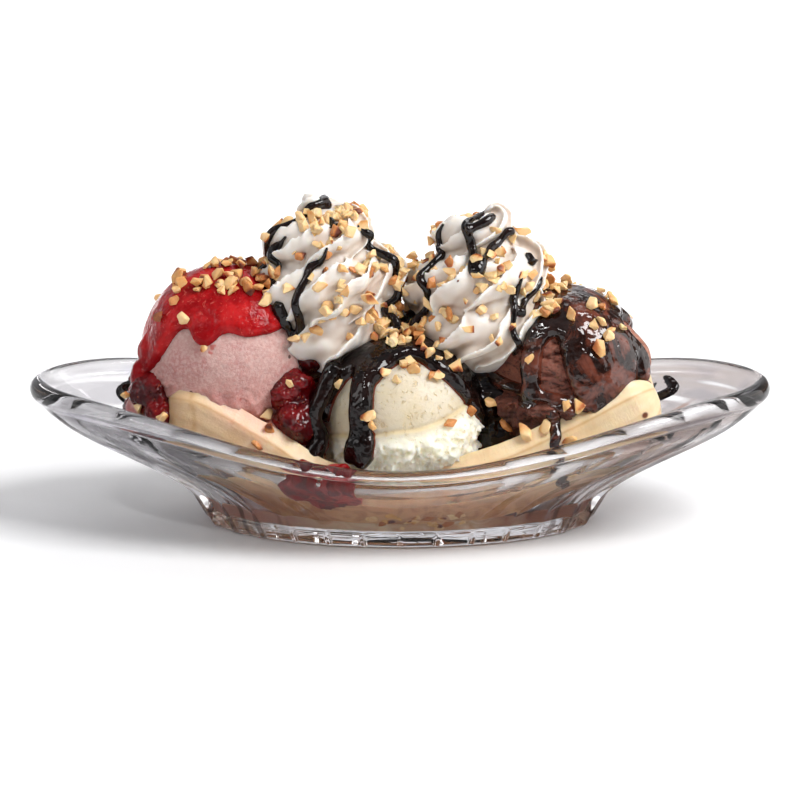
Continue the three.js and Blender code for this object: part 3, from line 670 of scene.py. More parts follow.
def banana_half(side, closeness, seed):
    """Vertices, faces, and how far along and round the fruit each vertex is."""
    stops = [(x, y * closeness, z) for x, y, z in BANANA_LINE]
    share = 0.5 - 0.5 * np.cos(np.pi * np.linspace(0.012, 0.988, BANANA_SECTIONS))
    fine = curve_through(stops, BANANA_STEPS)
    walk = np.linspace(0, 1, BANANA_STEPS)
    centre = np.stack([np.interp(share, walk, fine[:, i]) for i in range(3)], axis=1)
    along = unit(np.gradient(centre, axis=0))
    facing = np.array([0, side * math.cos(CUT_TILT), math.sin(CUT_TILT)])
    edge = unit(np.cross(facing, along))
    outward = -unit(np.cross(along, edge))
    length = np.linalg.norm(np.diff(fine, axis=0), axis=1).sum()
    from_end = np.minimum(share, 1 - share) * length
    round_off = np.minimum(1, from_end / BANANA_END)
    radius = BANANA_RADIUS * np.sqrt(1 - (1 - round_off) ** 2)
    round_side = np.linspace(-90, 90, 73)
    cut_side = np.linspace(0.94, -0.94, 23)
    rings, lengthwise, crosswise = [], [], []
    for i in range(len(share)):
        ridge_turn = np.radians(BANANA_RIDGES * round_side)
        ridge = 1 - 0.03 * np.cos(ridge_turn) + 0.012 * np.cos(2 * ridge_turn)
        curved = (edge[i] * np.sin(np.radians(round_side))[:, None]
                  + outward[i] * np.cos(np.radians(round_side))[:, None]) * (radius[i] * ridge)[:, None]
        crown = 0.9 * (1 - cut_side ** 2) * min(1, radius[i] / 8)
        flat = edge[i] * (cut_side * radius[i])[:, None] - outward[i] * crown[:, None]
        rings.append(centre[i] + np.vstack([curved, flat]))
        lengthwise.append(np.full(len(round_side) + len(cut_side), share[i] * length))
        crosswise.append(np.concatenate([np.radians(round_side) * BANANA_RADIUS,
                                         CUT_MARK + cut_side * BANANA_RADIUS]))
    vertices, faces = skin(fine[0], rings, fine[-1])
    lengthwise = np.concatenate([[0], *lengthwise, [length]])
    crosswise = np.concatenate([[0], *crosswise, [0]])
    middle = np.vstack([[fine[0]], np.repeat(centre, len(rings[0]), axis=0), [fine[-1]]])
    away = unit(vertices - middle + 1e-6)
    uneven = 0.35 * crags(vertices, 12, seed) + 0.08 * crags(vertices, 2.5, seed + 9)
    vertices = vertices + away * uneven[:, None]
    return pressed_to_dish(vertices), faces, lengthwise, crosswise


# %% [markdown]
# Ripe flesh is a pale warm yellow that turns darker along the ridges and browner towards the left end. The
# fibres are drawn along the fruit: their noise is stretched by measuring it in how far along and round a
# point lies.

# %% Banana finish
banana_flesh = Finish("banana_flesh", Roughness=0.42)
banana_flesh.glow(0.5, (1.0, 0.6, 0.3), 4)
along_fruit = banana_flesh.worked("lengthwise")
round_fruit = banana_flesh.worked("crosswise")


def banana_fibres(along_rate, round_rate):
    """Noise stretched along the fruit or round it."""
    sockets = {0: along_fruit * along_rate, 1: round_fruit * round_rate}
    place = banana_flesh.node("ShaderNodeCombineXYZ", None, sockets)
    sockets = {"Vector": place, "Scale": 9.0, "Detail": 3.0, "Roughness": 0.6}
    return banana_flesh.node("ShaderNodeTexNoise", None, sockets, "Fac")


fibres = banana_fibres(0.03, 0.09)
cross_fibres = banana_fibres(0.16, 0.025)
cloudy = banana_flesh.noise(16, 3, 0.6)
freckles = banana_flesh.mask(banana_flesh.noise(5, 4, 0.7), 0.69, 0.74)
browner_to_left = banana_flesh.mask(cloudy + banana_flesh.along_x() * -6, 0.45, 1.0)
pink_spot = banana_flesh.away_from((-0.043, -0.018, 0.045))
pink_melt = banana_flesh.mask(pink_spot + cloudy * 0.012, 0.028, 0.010)
red_wisps = banana_flesh.mask(banana_flesh.noise(4.5, 3, 0.6, distortion=1.5), 0.58, 0.7)
bruise = banana_flesh.away_from((0.0758, 0, 0.0412), banana_flesh.squashed_place((1, 0, 1)))
in_juice = banana_flesh.mask(banana_flesh.height() + cloudy * 0.012, 0.034, 0.022)
juice_patches = banana_flesh.mask(banana_flesh.noise(9, 3, 0.6, distortion=1.5), 0.4, 0.62)
juicy = banana_flesh.mix(juice_patches, paint(206, 146, 100), paint(172, 106, 66))
ripe = banana_flesh.mix(banana_flesh.mask(cloudy, 0.3, 0.7), paint(241, 218, 180), paint(231, 202, 158))
banana_flesh.colour(banana_flesh.painted_over(ripe, [
    (banana_flesh.mask(fibres, 0.52, 0.75) * 0.2, paint(220, 184, 134)),
    (banana_flesh.mask(cross_fibres, 0.5, 0.7) * 0.3, paint(240, 220, 184)),
    # Darker lines along the ridges, and the painted crease shade behind the tip.
    (banana_flesh.worked("ridge") * 0.7, paint(192, 148, 94)),
    (freckles * 0.6, paint(150, 96, 56)),
    (browner_to_left * 0.55, paint(190, 146, 104)),
    (pink_melt * 0.8, paint(220, 164, 150)),
    (red_wisps * pink_melt * 0.7, paint(186, 76, 70)),
    (banana_flesh.mask(bruise, 0.0013, 0.0006), paint(112, 58, 30)),
    (in_juice * 0.85, juicy),
]))
banana_flesh.bump(fibres * 0.4 + cross_fibres * 0.4 + banana_flesh.noise(0.9, 3) * 0.4, 0.4, 0.8)
banana_flesh.gloss(banana_flesh.noise(6, 2) * 0.2 + 0.32)

for name, side, closeness, seed in (("banana_half_front", 1, 1.0, 3), ("banana_half_back", -1, -0.82, 5)):
    vertices, faces, lengthwise, crosswise = banana_half(side, closeness, seed)
    turned = turn_between(BANANA_RIDGES * np.degrees(crosswise / BANANA_RADIUS), 180)
    near_ridge = np.abs(np.radians(turned)) / BANANA_RIDGES * BANANA_RADIUS
    # A dark line just behind the tip is painted crease shade.
    behind_tip = lengthwise - 11 - 5 * np.cos(crosswise / 9) + 0.8 * bumps(vertices, 4, 19)
    lines = np.maximum(np.exp(-(near_ridge / 0.55) ** 2), 0.9 * np.exp(-(behind_tip / 0.7) ** 2))
    line = np.where(crosswise < CUT_MARK / 2, lines, 0)
    make_piece(name, vertices, faces, banana_flesh, [name.replace("_half", "")],
               {"lengthwise": lengthwise, "crosswise": crosswise, "ridge": line})

# %% [markdown]
# ## Melted ice cream
# Some of the ice cream has melted and filled the bottom of the dish. It is poured like any liquid: a level
# top, and sides that are those of the dish. Vanilla, strawberry and chocolate have run into each other in
# streaks.

# %% Melt
MELT_LEVEL = 9.5
around = np.linspace(0, 2 * np.pi, 240, endpoint=False)


def hollow_ring(height, shrink, reach):
    share = (height - FLOOR_HEIGHT) / (lip_height(around) - FLOOR_HEIGHT)
    long, wide = hollow_axes(np.clip(share, 0, 1))
    x = (long + reach) * shrink * np.cos(around)
    y = (wide + reach) * shrink * np.sin(around)
    return np.stack([x, y, height + 0 * around], axis=1)


WALL_REACH = 0.25
melt_rings = [hollow_ring(FLOOR_HEIGHT - WALL_REACH, shrink, WALL_REACH) for shrink in (0.3, 0.6, 0.9, 1)]
melt_rings += [hollow_ring(height, 1, WALL_REACH) for height in np.linspace(FLOOR_HEIGHT, MELT_LEVEL, 7)]
melt_rings += [hollow_ring(MELT_LEVEL, shrink, 0) for shrink in (0.98, 0.9, 0.75, 0.5, 0.25)]
melt_vertices, melt_faces = skin((0, 0, FLOOR_HEIGHT - WALL_REACH), melt_rings, (0, 0, MELT_LEVEL))

melt = Finish("melted_ice_cream", Roughness=0.25)
melt.glow(0.4, (1.0, 0.5, 0.3), 3)
streaks = melt.noise(11, 3, 0.55, distortion=1.2)
along_dish = melt.along_x() + streaks * 0.03
melted = melt.mix(melt.mask(streaks, 0.35, 0.65), paint(226, 200, 168), paint(205, 160, 126))
melted = melt.mix(melt.mask(along_dish, -0.005, -0.03), melted, paint(208, 158, 142))
melt.colour(melt.mix(melt.mask(along_dish, 0.035, 0.055), melted, paint(150, 92, 66)))
melt.bump(streaks, 0.3, 0.5)
make_piece("melted_ice_cream_pool", melt_vertices, melt_faces, melt, ["melted_ice_cream"])

# %% [markdown]
# ## Scoops
# A scoop is a ball that the disher shaves off: smooth where its bowl slid along, and torn and crumbly round
# the foot, where the ice cream was pressed out over the rim. A ball of directions with a rule for the
# radius gives both. Far from the foot the rule is almost a plain number, and near it bumps of several sizes
# are added.

# %% Scoop rules
SCOOP_WAYS, SCOOP_FACES = ball_ways(7)
DEGREE = math.pi / 180


def way_of(azimuth, elevation):
    level = np.cos(np.radians(elevation))
    return np.stack([level * np.cos(np.radians(azimuth)), level * np.sin(np.radians(azimuth)),
                     np.sin(np.radians(elevation))], axis=-1)


def azimuth_of(ways):
    return np.degrees(np.arctan2(ways[:, 1], ways[:, 0]))


def elevation_of(ways):
    return np.degrees(np.arcsin(np.clip(ways[:, 2], -1, 1)))


def bump_at(ways, azimuth, elevation, width):
    """1 in one direction, falling to 0 over `width` degrees."""
    apart = np.degrees(np.arccos(np.clip(ways @ way_of(azimuth, elevation), -1, 1)))
    return np.exp(-(apart / width) ** 2)


def torn(places, size, seed):
    """Crumbly relief: rounded crumbs with sharp creases between them, from 0 to 1."""
    first = 1 - np.abs(bumps(places, size, seed)) * 2.2
    second = 1 - np.abs(bumps(places, size * 0.45, seed + 1)) * 2.2
    return np.clip(0.65 * first + 0.35 * second, 0, 1)


STRAWBERRY = {"centre": (-54, -2, 56.5), "radius": 24.5}
VANILLA = {"centre": (0, -12.5, 38), "radius": 24}
CHOCOLATE = {"centre": (52, -2, 50), "radius": 24.5}


def strawberry_radius(ways):
    place = ways * STRAWBERRY["radius"]
    foot = np.exp(-((elevation_of(ways) + 30) / 12) ** 2)
    lip = bump_at(ways, -150, -16, 13) * 3.0 * torn(place, 4, 14)
    wide = 3.4 * bump_at(ways, -38, -12, 42) + 1.8 * bump_at(ways, -168, -22, 34)
    return (STRAWBERRY["radius"] + wide + 0.5 * bumps(place, 15, 11) + 0.2 * crags(place, 2.2, 12)
            + foot * (1.2 + 1.9 * torn(place, 6, 13)) + lip)


# Where the bowl of the disher left its last edge on the vanilla: azimuth and elevation.
CREASE = [(-180, -16), (-140, -6), (-118, -2), (-107, 0), (-94, 3), (-79, 4), (-64, 7), (-47, 11), (-29, 15),
          (-10, 8), (30, -6), (90, -14), (150, -18), (180, -16)]


def vanilla_radius(ways):
    place = ways * VANILLA["radius"]
    azimuth, elevation = azimuth_of(ways), elevation_of(ways)
    below = np.interp(azimuth, *np.array(CREASE).T) - elevation + 0.8 * bumps(place, 6, 22)
    skirt = smooth_step(3, 16, below) * (1 - smooth_step(42, 60, below))
    step = 0.9 * smooth_step(-1.2, 1.2, below) - 0.45 * np.exp(-(below / 1.8) ** 2)
    rough = 2.6 * torn(place, 5.2, 23) + 1.5 * torn(place, 2.1, 24) - 1.1
    corner = 2.2 * bump_at(ways, -48, -14, 20)
    return (VANILLA["radius"] + 0.45 * bumps(place, 15, 21) + step + skirt * (0.8 + rough + corner)
            - 0.12 * np.abs(crags(place, 3, 25)))


def chocolate_radius(ways):
    place = ways * CHOCOLATE["radius"]
    elevation = elevation_of(ways)
    below = -9 + 2.5 * bumps(place, 7, 35) - elevation
    smoothed_off = 1 - 0.85 * bump_at(ways, -48, -16, 36)
    foot = smooth_step(0, 3.5, below) * (1 - smooth_step(26, 46, below)) * smoothed_off
    scraped = bump_at(ways, -104, 16, 26)
    grooves = np.maximum(0, crags(place * (1, 1, 2.6), 3.6, 32)) * 2.2 * scraped
    notch = 2.2 * bump_at(ways, -132, -2, 11) + 2.5 * bump_at(ways, -10, 56, 22)
    lip = 3 * bump_at(ways, -8, 10, 16)
    return (CHOCOLATE["radius"] + 0.6 * bumps(place, 12, 31) + 0.15 * crags(place, 2.5, 34)
            - grooves - notch + lip
            + foot * (2.4 + 2.2 * torn(place, 4.4, 33) + 1.6 * torn(place, 1.9, 36)))


# %% [markdown]
# Ice cream is full of tiny air bubbles and ice crystals, so light goes a little way in and comes out again.
# All three flavours share that glow. The strawberry one is dusty with frost and holds dark and red flecks,
# the vanilla one is pitted, and the chocolate one is open and grainy.

# %% Ice cream finishes
def ice_cream(name, base, reach, rough, depth_mm=3):
    """A matt finish that light goes a little way into."""
    made = Finish(name, Roughness=rough, Base_Color=base)
    made.glow(0.6, reach, depth_mm)
    return made


strawberry_ice = ice_cream("strawberry_ice_cream", paint(226, 178, 176), (1.0, 0.45, 0.4), 0.62)
frost = strawberry_ice.mask(strawberry_ice.noise(1.1, 4, 0.7), 0.42, 0.62)
blush = strawberry_ice.mask(strawberry_ice.noise(13, 3, 0.6), 0.4, 0.68)
# The lower part is painted pinker and lighter: partly its own blush, partly painted light that lifts the
# shade the banana throws on it.
low_blush_and_painted_light = strawberry_ice.mask(strawberry_ice.height() + blush * 0.004, 0.058, 0.044)
red_flecks = strawberry_ice.mask(strawberry_ice.noise(5.5, 2, 0.5), 0.7, 0.74)
seed_spots = strawberry_ice.mask(strawberry_ice.from_seeds(110.0), 0.075, 0.055)
pink = strawberry_ice.mix(blush, paint(209, 165, 157), paint(196, 136, 130))
strawberry_ice.colour(strawberry_ice.painted_over(pink, [
    (frost * 0.5, paint(230, 202, 196)),
    (low_blush_and_painted_light * 0.6, paint(226, 160, 150)),
    (red_flecks * 0.75, paint(196, 80, 74)),
    (strawberry_ice.worked("juice") * 0.8, paint(158, 54, 52)),
    (seed_spots * 0.9, paint(66, 40, 34)),
]))
strawberry_ice.bump(strawberry_ice.noise(1.2, 4, 0.8), 0.9, 1.0)

vanilla_ice = ice_cream("vanilla_ice_cream", paint(246, 238, 210), (1.0, 0.85, 0.55), 0.5, depth_mm=5)
hollows = vanilla_ice.mask(vanilla_ice.noise(3.2, 4, 0.65), 0.5, 0.72)
yolk = vanilla_ice.mask(vanilla_ice.noise(15, 3, 0.5), 0.35, 0.7)
pits = vanilla_ice.mask(vanilla_ice.noise(1.9, 3, 0.7), 0.56, 0.68)
custard = vanilla_ice.mix(yolk, paint(216, 205, 184), paint(211, 196, 166))
vanilla_ice.colour(vanilla_ice.painted_over(custard, [
    # The skirt below the crease is painted lighter: painted light that lifts the shade in its torn relief.
    (vanilla_ice.worked("skirt"), paint(249, 242, 221)),
    (hollows * 0.3, paint(222, 206, 166)),
    # Painted shade along the crease.
    (vanilla_ice.worked("crease") * 0.6, paint(222, 198, 140)),
    (pits * 0.35, paint(232, 200, 140)),
]))
vanilla_ice.bump(vanilla_ice.noise(1.4, 4, 0.7) * 0.5 - pits * 0.9, 0.6, 0.9)

chocolate_ice = ice_cream("chocolate_ice_cream", paint(120, 72, 56), (1.0, 0.5, 0.35), 0.55)
cocoa = chocolate_ice.mask(chocolate_ice.noise(7, 4, 0.65), 0.35, 0.68)
grain = chocolate_ice.mask(chocolate_ice.noise(1.2, 3, 0.7), 0.5, 0.7)
near_foot = chocolate_ice.mask(chocolate_ice.height() + cocoa * 0.004, 0.048, 0.04)
crumbs = chocolate_ice.noise(2.6, 4, 0.7, chocolate_ice.squashed_place((0.6, 0.6, 1.8)), 0.6)
# Thin cracks, darkened with painted shade and carved in by the bump.
shaded_cracks = chocolate_ice.mask(crumbs, 0.46, 0.38)
brown = chocolate_ice.mix(cocoa, paint(150, 90, 70), paint(112, 60, 45))
chocolate_ice.colour(chocolate_ice.painted_over(brown, [
    (chocolate_ice.worked("pale"), paint(168, 112, 90)),
    (grain * 0.5, paint(66, 34, 26)),
    (near_foot * 0.7, paint(58, 30, 22)),
    (shaded_cracks * 0.6, paint(48, 24, 18)),
]))
chocolate_ice.bump(chocolate_ice.noise(1.3, 4, 0.8) * 0.6 - shaded_cracks, 0.9, 1.0)


# %% Scoop meshes
def scoop_mesh(scoop, radius_rule):
    radius = radius_rule(SCOOP_WAYS)
    return pressed_to_dish(SCOOP_WAYS * radius[:, None] + scoop["centre"])


scoop_elevation = elevation_of(SCOOP_WAYS)
strawberry_mesh = scoop_mesh(STRAWBERRY, strawberry_radius)
juice_line = np.exp(-((scoop_elevation + 22 + 5 * bumps(SCOOP_WAYS, 0.3, 15)) / 5) ** 2)
make_piece("strawberry_ice_cream_scoop", strawberry_mesh, SCOOP_FACES, strawberry_ice,
           ["strawberry_scoop"], {"juice": juice_line * smooth_step(-0.2, 0.5, bumps(SCOOP_WAYS, 0.4, 16))})
vanilla_mesh = scoop_mesh(VANILLA, vanilla_radius)
crease_gap = np.interp(azimuth_of(SCOOP_WAYS), *np.array(CREASE).T) - scoop_elevation
# A line of painted shade along the crease, and a share of painted light for the skirt below it.
vanilla_values = {"crease": np.exp(-(crease_gap / 1.5) ** 2), "skirt": smooth_step(1, 6, crease_gap)}
make_piece("vanilla_ice_cream_scoop", vanilla_mesh, SCOOP_FACES, vanilla_ice,
           ["vanilla_scoop"], vanilla_values)
chocolate_mesh = scoop_mesh(CHOCOLATE, chocolate_radius)
make_piece("chocolate_ice_cream_scoop", chocolate_mesh, SCOOP_FACES, chocolate_ice,
           ["chocolate_scoop"], {"pale": bump_at(SCOOP_WAYS, -8, 20, 17)})

# %% [markdown]
# ## Melting parts together
# Thick sauce, crushed fruit and cream are lumps and strands that flow into each other. Their meshes are
# joined, filled with small cubes and smoothed, which makes one closed skin with a rounded line at every
# meeting.

# %% Lumps, strands and melting
def melted_together(name, meshes, finish, stands_for, cube_mm, smoothing):
    """Joins overlapping closed meshes into one with rounded meetings."""
    vertices = np.vstack([part[0] for part in meshes])
    faces, start = [], 0
    for part_vertices, part_faces in meshes:
        faces += [tuple(i + start for i in face) for face in part_faces]
        start += len(part_vertices)
    piece = make_piece(name, vertices, faces, finish, stands_for)
    remesh = piece.modifiers.new("melt", "REMESH")
    remesh.mode = "VOXEL"
    remesh.voxel_size = cube_mm * METRES
    remesh.use_smooth_shade = True
    soften = piece.modifiers.new("soften", "SMOOTH")
    soften.factor = 0.5
    soften.iterations = smoothing
    with_modifiers = piece.evaluated_get(bpy.context.evaluated_depsgraph_get())
    settled = bpy.data.meshes.new_from_object(with_modifiers)
    piece.modifiers.clear()
    piece.data = settled
    if not settled.materials:
        settled.materials.append(finish.material)
    print(name, "melted into", len(settled.polygons), "faces")
    return piece


def tube(points, radii, sides=12):
    """A closed round strand along points, with a radius at each."""
    along = unit(np.gradient(points, axis=0))
    side = unit(np.cross(along[0], (0.3, 0.5, 0.8)))
    rings = []
    for centre, forward, radius in zip(points, along, radii):
        side = unit(side - forward * (side @ forward))
        up = np.cross(forward, side)
        turns = np.linspace(0, 2 * np.pi, sides, endpoint=False)[:, None]
        rings.append(centre + radius * (np.cos(turns) * side + np.sin(turns) * up))
    first = points[0] - along[0] * radii[0] * 0.6
    last = points[-1] + along[-1] * radii[-1] * 0.6
    return skin(first, rings, last)


def lump(centre, radius, squash=(1, 1, 1), seed=1, level=4, relief=0.1, grain=0.9):
    """A rounded uneven lump."""
    ways, faces = ball_ways(level)
    swell = 1 + relief * crags(ways * grain * 2, 1.1, seed, 2)
    return ways * swell[:, None] * radius * np.array(squash) + centre, faces


# %% [markdown]
# ## Sauces
# Thick sauce lies on a scoop in a sheet with rounded edges, and runs down in fingers that end in a swollen
# drop. The rule is a height for the sheet's edge all round the scoop, plus some runs. From both comes one
# number: how deep a point lies inside the sauce's outline. The thickness grows from nothing at the edge
# like a quarter circle, which gives the fat rounded edge of a syrup.

# %% Sauce rules
def edge_at(azimuth, stops):
    """The sheet's lower edge, as an elevation, all round the scoop."""
    turns, heights = np.array(stops, float).T
    turns = np.concatenate([turns[-1:] - 360, turns, turns[:1] + 360])
    heights = np.concatenate([heights[-1:], heights, heights[:1]])
    fine = np.arange(-180, 180, 0.5)
    plain = np.interp(fine, turns, heights)
    reach = np.exp(-(np.arange(-8, 9) / 4.0) ** 2)
    rounded = np.convolve(np.concatenate([plain[-8:], plain, plain[:8]]), reach / reach.sum(), "valid")
    return np.interp(azimuth, fine, rounded, period=360)


def distance_to_run(places, run):
    """How far each place is from a line of points."""
    best = np.full(len(places), 1e9)
    for start, end in zip(run[:-1], run[1:]):
        along = end - start
        share = np.clip((places - start) @ along / (along @ along), 0, 1)
        best = np.minimum(best, np.linalg.norm(places - start - share[:, None] * along, axis=1))
    return best


def joined(first, second, softness):
    """The larger of two depths, with a rounded corner where they meet."""
    share = np.clip(0.5 + 0.5 * (first - second) / softness, 0, 1)
    return mixed(second, first, share) + softness * share * (1 - share)


def sauce_depth(scoop, stops, runs):
    """How deep each direction lies inside the sauce's outline, in millimetres, and where the drops hang."""
    radius = scoop["radius"]
    places = SCOOP_WAYS * radius
    azimuth, elevation = azimuth_of(SCOOP_WAYS), elevation_of(SCOOP_WAYS)
    wobble = 1.2 * bumps(places, 5, 77)
    edge = edge_at(azimuth, stops) + wobble
    steepness = (edge_at(azimuth + 1, stops) - edge_at(azimuth - 1, stops)) / 2
    level = np.maximum(np.cos(np.radians(elevation)), 0.25)
    depth = (elevation - edge) * DEGREE * radius / np.sqrt(1 + (steepness / level) ** 2)
    drops = np.zeros(len(places))
    for points, half_width in runs:
        line = way_of(*curve_through(points, 14).T) * radius
        away = distance_to_run(places, line)
        depth = joined(depth, half_width + 0.5 * bumps(places, 6, 78) - away, 2.5)
        from_tip = np.linalg.norm(places - line[-1], axis=1)
        drops = np.maximum(drops, np.exp(-(from_tip / (half_width * 1.1)) ** 2))
    return depth, drops


def sauce_mesh(scoop, radius_rule, stops, runs, thickness, roundness, seed):
    depth, drops = sauce_depth(scoop, stops, runs)
    rise = np.clip(depth / roundness, 0, 1)
    layer = (thickness + 0.9 * drops) * np.sqrt(1 - (1 - rise) ** 2)
    places = SCOOP_WAYS * scoop["radius"]
    layer += rise * 0.35 * bumps(places, 9, seed) + rise * 0.12 * bumps(places, 4, seed + 1)
    under = np.where(depth < 0, -0.4 - np.minimum(1.6, -depth), -0.1)
    bare = radius_rule(SCOOP_WAYS)
    softened = mixed(bare, scoop["radius"] + 0.3, 0.55)
    radius = np.where(depth < 0, bare, mixed(bare, softened, rise)) + under + layer
    return pressed_to_dish(SCOOP_WAYS * radius[:, None] + scoop["centre"])


# %% [markdown]
# The strawberry sauce is a bright red jelly with soft pieces of fruit in it. It lets light through, so thin
# places glow and thick ones are dark. Deep subsurface light under a wet shine does this more cheaply than
# real refraction, and it keeps its colour when the part is seen from any side.

# %% Strawberry sauce
# The lower edge of a sauce all round its scoop: azimuth and elevation in degrees. Each run is a line of such
# pairs and half its width in millimetres.
STRAWBERRY_EDGE = [(-170, -18), (-160, -13), (-150, -7), (-143, 2), (-133, 17), (-126, 27), (-119, 28),
                   (-113, 19), (-104, 14), (-98, 19), (-92, 26), (-86, 27), (-76, 23), (-66, 21), (-40, 24),
                   (-5, 30), (25, 22), (50, 14), (75, 12), (100, -8), (122, 14), (148, 3), (168, 6),
                   (178, -14)]
STRAWBERRY_RUNS = [([(-174, 20), (-171, 0), (-168, -14), (-167, -20)], 3.4)]

red_sauce = Finish("strawberry_sauce", Roughness=0.09, IOR=1.3, Specular_IOR_Level=0.3)
red_sauce.glow(0.85, (1.0, 0.12, 0.1), 6)
pulp = red_sauce.mask(red_sauce.noise(7, 3, 0.6), 0.38, 0.66)
red = red_sauce.mix(pulp, paint(146, 12, 18), paint(188, 36, 38))
threads = red_sauce.mask(red_sauce.noise(2.4, 3, 0.7, distortion=1.5), 0.58, 0.7)
red = red_sauce.mix(threads * 0.6, red, paint(226, 104, 94))
low_down = red_sauce.mask(red_sauce.height(), 0.066, 0.048)
red_sauce.colour(red_sauce.mix(low_down * 0.7, red, paint(128, 12, 18)))
red_sauce.bump(red_sauce.noise(5, 3, 0.6) + red_sauce.noise(2, 2) * 0.25 + threads * 0.2, 1.0, 0.9)

strawberry_layer = sauce_mesh(STRAWBERRY, strawberry_radius, STRAWBERRY_EDGE, STRAWBERRY_RUNS, 2.7, 2.6, 41)
side_run = [lump((-78.5, -9, 57), 4.2, (0.9, 1.3, 1.5), 42), lump((-81, -10, 50), 4.0, (0.9, 1.4, 1.3), 43),
            lump((-82.5, -8, 44), 3.6, (0.9, 1.5, 1.1), 44)]
melted_together("strawberry_sauce_sheet", [(strawberry_layer, SCOOP_FACES), *side_run], red_sauce,
                ["strawberry_sauce"], 0.5, 3)

# %% [markdown]
# Fudge sauce is so dark that what one sees is mostly its shine. It is a black-brown base with a very smooth
# surface, and a redder brown where it is thin. How thick it is over the scoop is worked out for every point
# of the mesh. The sheets, fingers and pools flow into each other, so they are melted together.

# %% Fudge tools
def sauce_finish(name, dark, light, thin_colour, patch_mm, bending=1.42):
    """A dark glossy sauce that shows a redder brown where it is thin."""
    made = Finish(name, Roughness=0.1, IOR=bending)
    body = made.mask(made.noise(patch_mm, 4, 0.6, distortion=1.2), 0.42, 0.64)
    sauce = made.mix(body, dark, light)
    made.colour(made.mix(made.mask(made.worked("depth"), 1.0, 0.15), sauce, thin_colour))
    made.gloss(made.noise(5, 2) * 0.08 + 0.03)
    made.bump(made.noise(6, 2, 0.5) + made.noise(2.5, 2) * 0.15, 1.2, 1.1)
    return made


fudge = sauce_finish("fudge_sauce", paint(13, 7, 6), paint(28, 13, 10), paint(104, 42, 22), 9)
thin_fudge = sauce_finish("thin_fudge_sauce", paint(30, 14, 10), paint(104, 54, 40), paint(96, 44, 29), 11,
                          bending=1.55)


def sauce_over(piece, scoop=None, radius_rule=None):
    """Stores how thick the sauce is over its scoop, and 3 for sauce that lies anywhere else."""
    places = mesh_of(piece)[0]
    if scoop is None:
        note_values(piece, "depth", np.full(len(places), 3.0))
        return
    away = places - np.array(scoop["centre"])
    far = np.linalg.norm(away, axis=1)
    note_values(piece, "depth", far - radius_rule(away / far[:, None]))


# %% Fudge over the vanilla
VANILLA_EDGE = [(-180, 42), (-150, 44), (-132, 42), (-111, 40), (-104, 49), (-90, 56), (-70, 60), (-50, 57),
                (-36, 44), (-24, 22), (0, 10), (20, 14), (45, 28), (70, 30), (110, 12), (135, 24), (160, 34)]
VANILLA_RUNS = [
    ([(-128, 50), (-122, 25), (-120, 3), (-120, -12)], 3.9),
    ([(-119, -7), (-120, -12)], 4.7),
    ([(-58, 66), (-36, 42), (-22, 20), (-10, 2)], 3.2),
    ([(-150, 52), (-158, 28), (-164, 8)], 3.8),
]
FINGER_BESIDE_VANILLA = [(-20, -22, 56), (-24, -25, 48), (-26.5, -26.5, 41), (-24.5, -27.5, 35),
                         (-27, -28, 29), (-25.5, -29, 25), (-27.5, -29.5, 20.5)]

vanilla_layer = sauce_mesh(VANILLA, vanilla_radius, VANILLA_EDGE, VANILLA_RUNS, 2.9, 2.4, 51)
FINGER_STEPS = 40
down_finger = np.linspace(0, 1, FINGER_STEPS)
finger_path = curve_through(FINGER_BESIDE_VANILLA, FINGER_STEPS)
finger_width = mixed(3.4, 2.7, smooth_step(0, 0.6, down_finger)) + 0.7 * bumps(finger_path, 6, 55)
finger_width += 1.2 * np.exp(-((down_finger - 0.95) / 0.12) ** 2)
heap = lump((3, 3, 58), 11, (1.25, 1, 1), 52)
pool_top = lump((27, -11, 41), 10, (1.0, 0.7, 1.2), 53, relief=0.2)
pool_low = lump((31, -11, 31), 9.5, (1, 0.8, 1.1), 54, relief=0.2)
fudge_on_vanilla = melted_together(
    "fudge_over_vanilla",
    [(vanilla_layer, SCOOP_FACES), tube(finger_path, finger_width), heap, pool_top, pool_low],
    fudge, ["fudge_on_vanilla"], 0.5, 4)
sauce_over(fudge_on_vanilla, VANILLA, vanilla_radius)

# %% Fudge over the chocolate
CHOCOLATE_EDGE = [(-180, 26), (-150, 34), (-128, 40), (-112, 33), (-102, 40), (-97, 28), (-92, 8),
                  (-84, -12), (-70, -18), (-44, -14), (-34, 8), (-26, 34), (-15, 44), (0, 42), (20, 24),
                  (40, 10), (62, 16), (95, -6), (120, 14), (150, 10), (165, 22)]
CHOCOLATE_RUNS = [
    ([(-121, 42), (-120, 20), (-119, 4), (-119, -5)], 3.4),
    ([(-30, 34), (-24, 16), (-26, 2)], 2.6),
    ([(-156, 0), (-140, -3), (-126, -5), (-110, -6), (-96, -9), (-88, -13)], 2.0),
]
chocolate_layer = sauce_mesh(CHOCOLATE, chocolate_radius, CHOCOLATE_EDGE, CHOCOLATE_RUNS, 2.5, 2.2, 61)
fudge_on_chocolate = melted_together("fudge_over_chocolate", [(chocolate_layer, SCOOP_FACES)], thin_fudge,
                                     ["fudge_on_chocolate"], 0.5, 3)
sauce_over(fudge_on_chocolate, CHOCOLATE, chocolate_radius)

# %% [markdown]
# ## Crushed strawberries
# Fruit that was crushed in syrup hangs together in dark red lumps with pale seeds. Lumps of a few sizes are
# melted together, and the seeds and the small dimples they sit in are part of the finish.

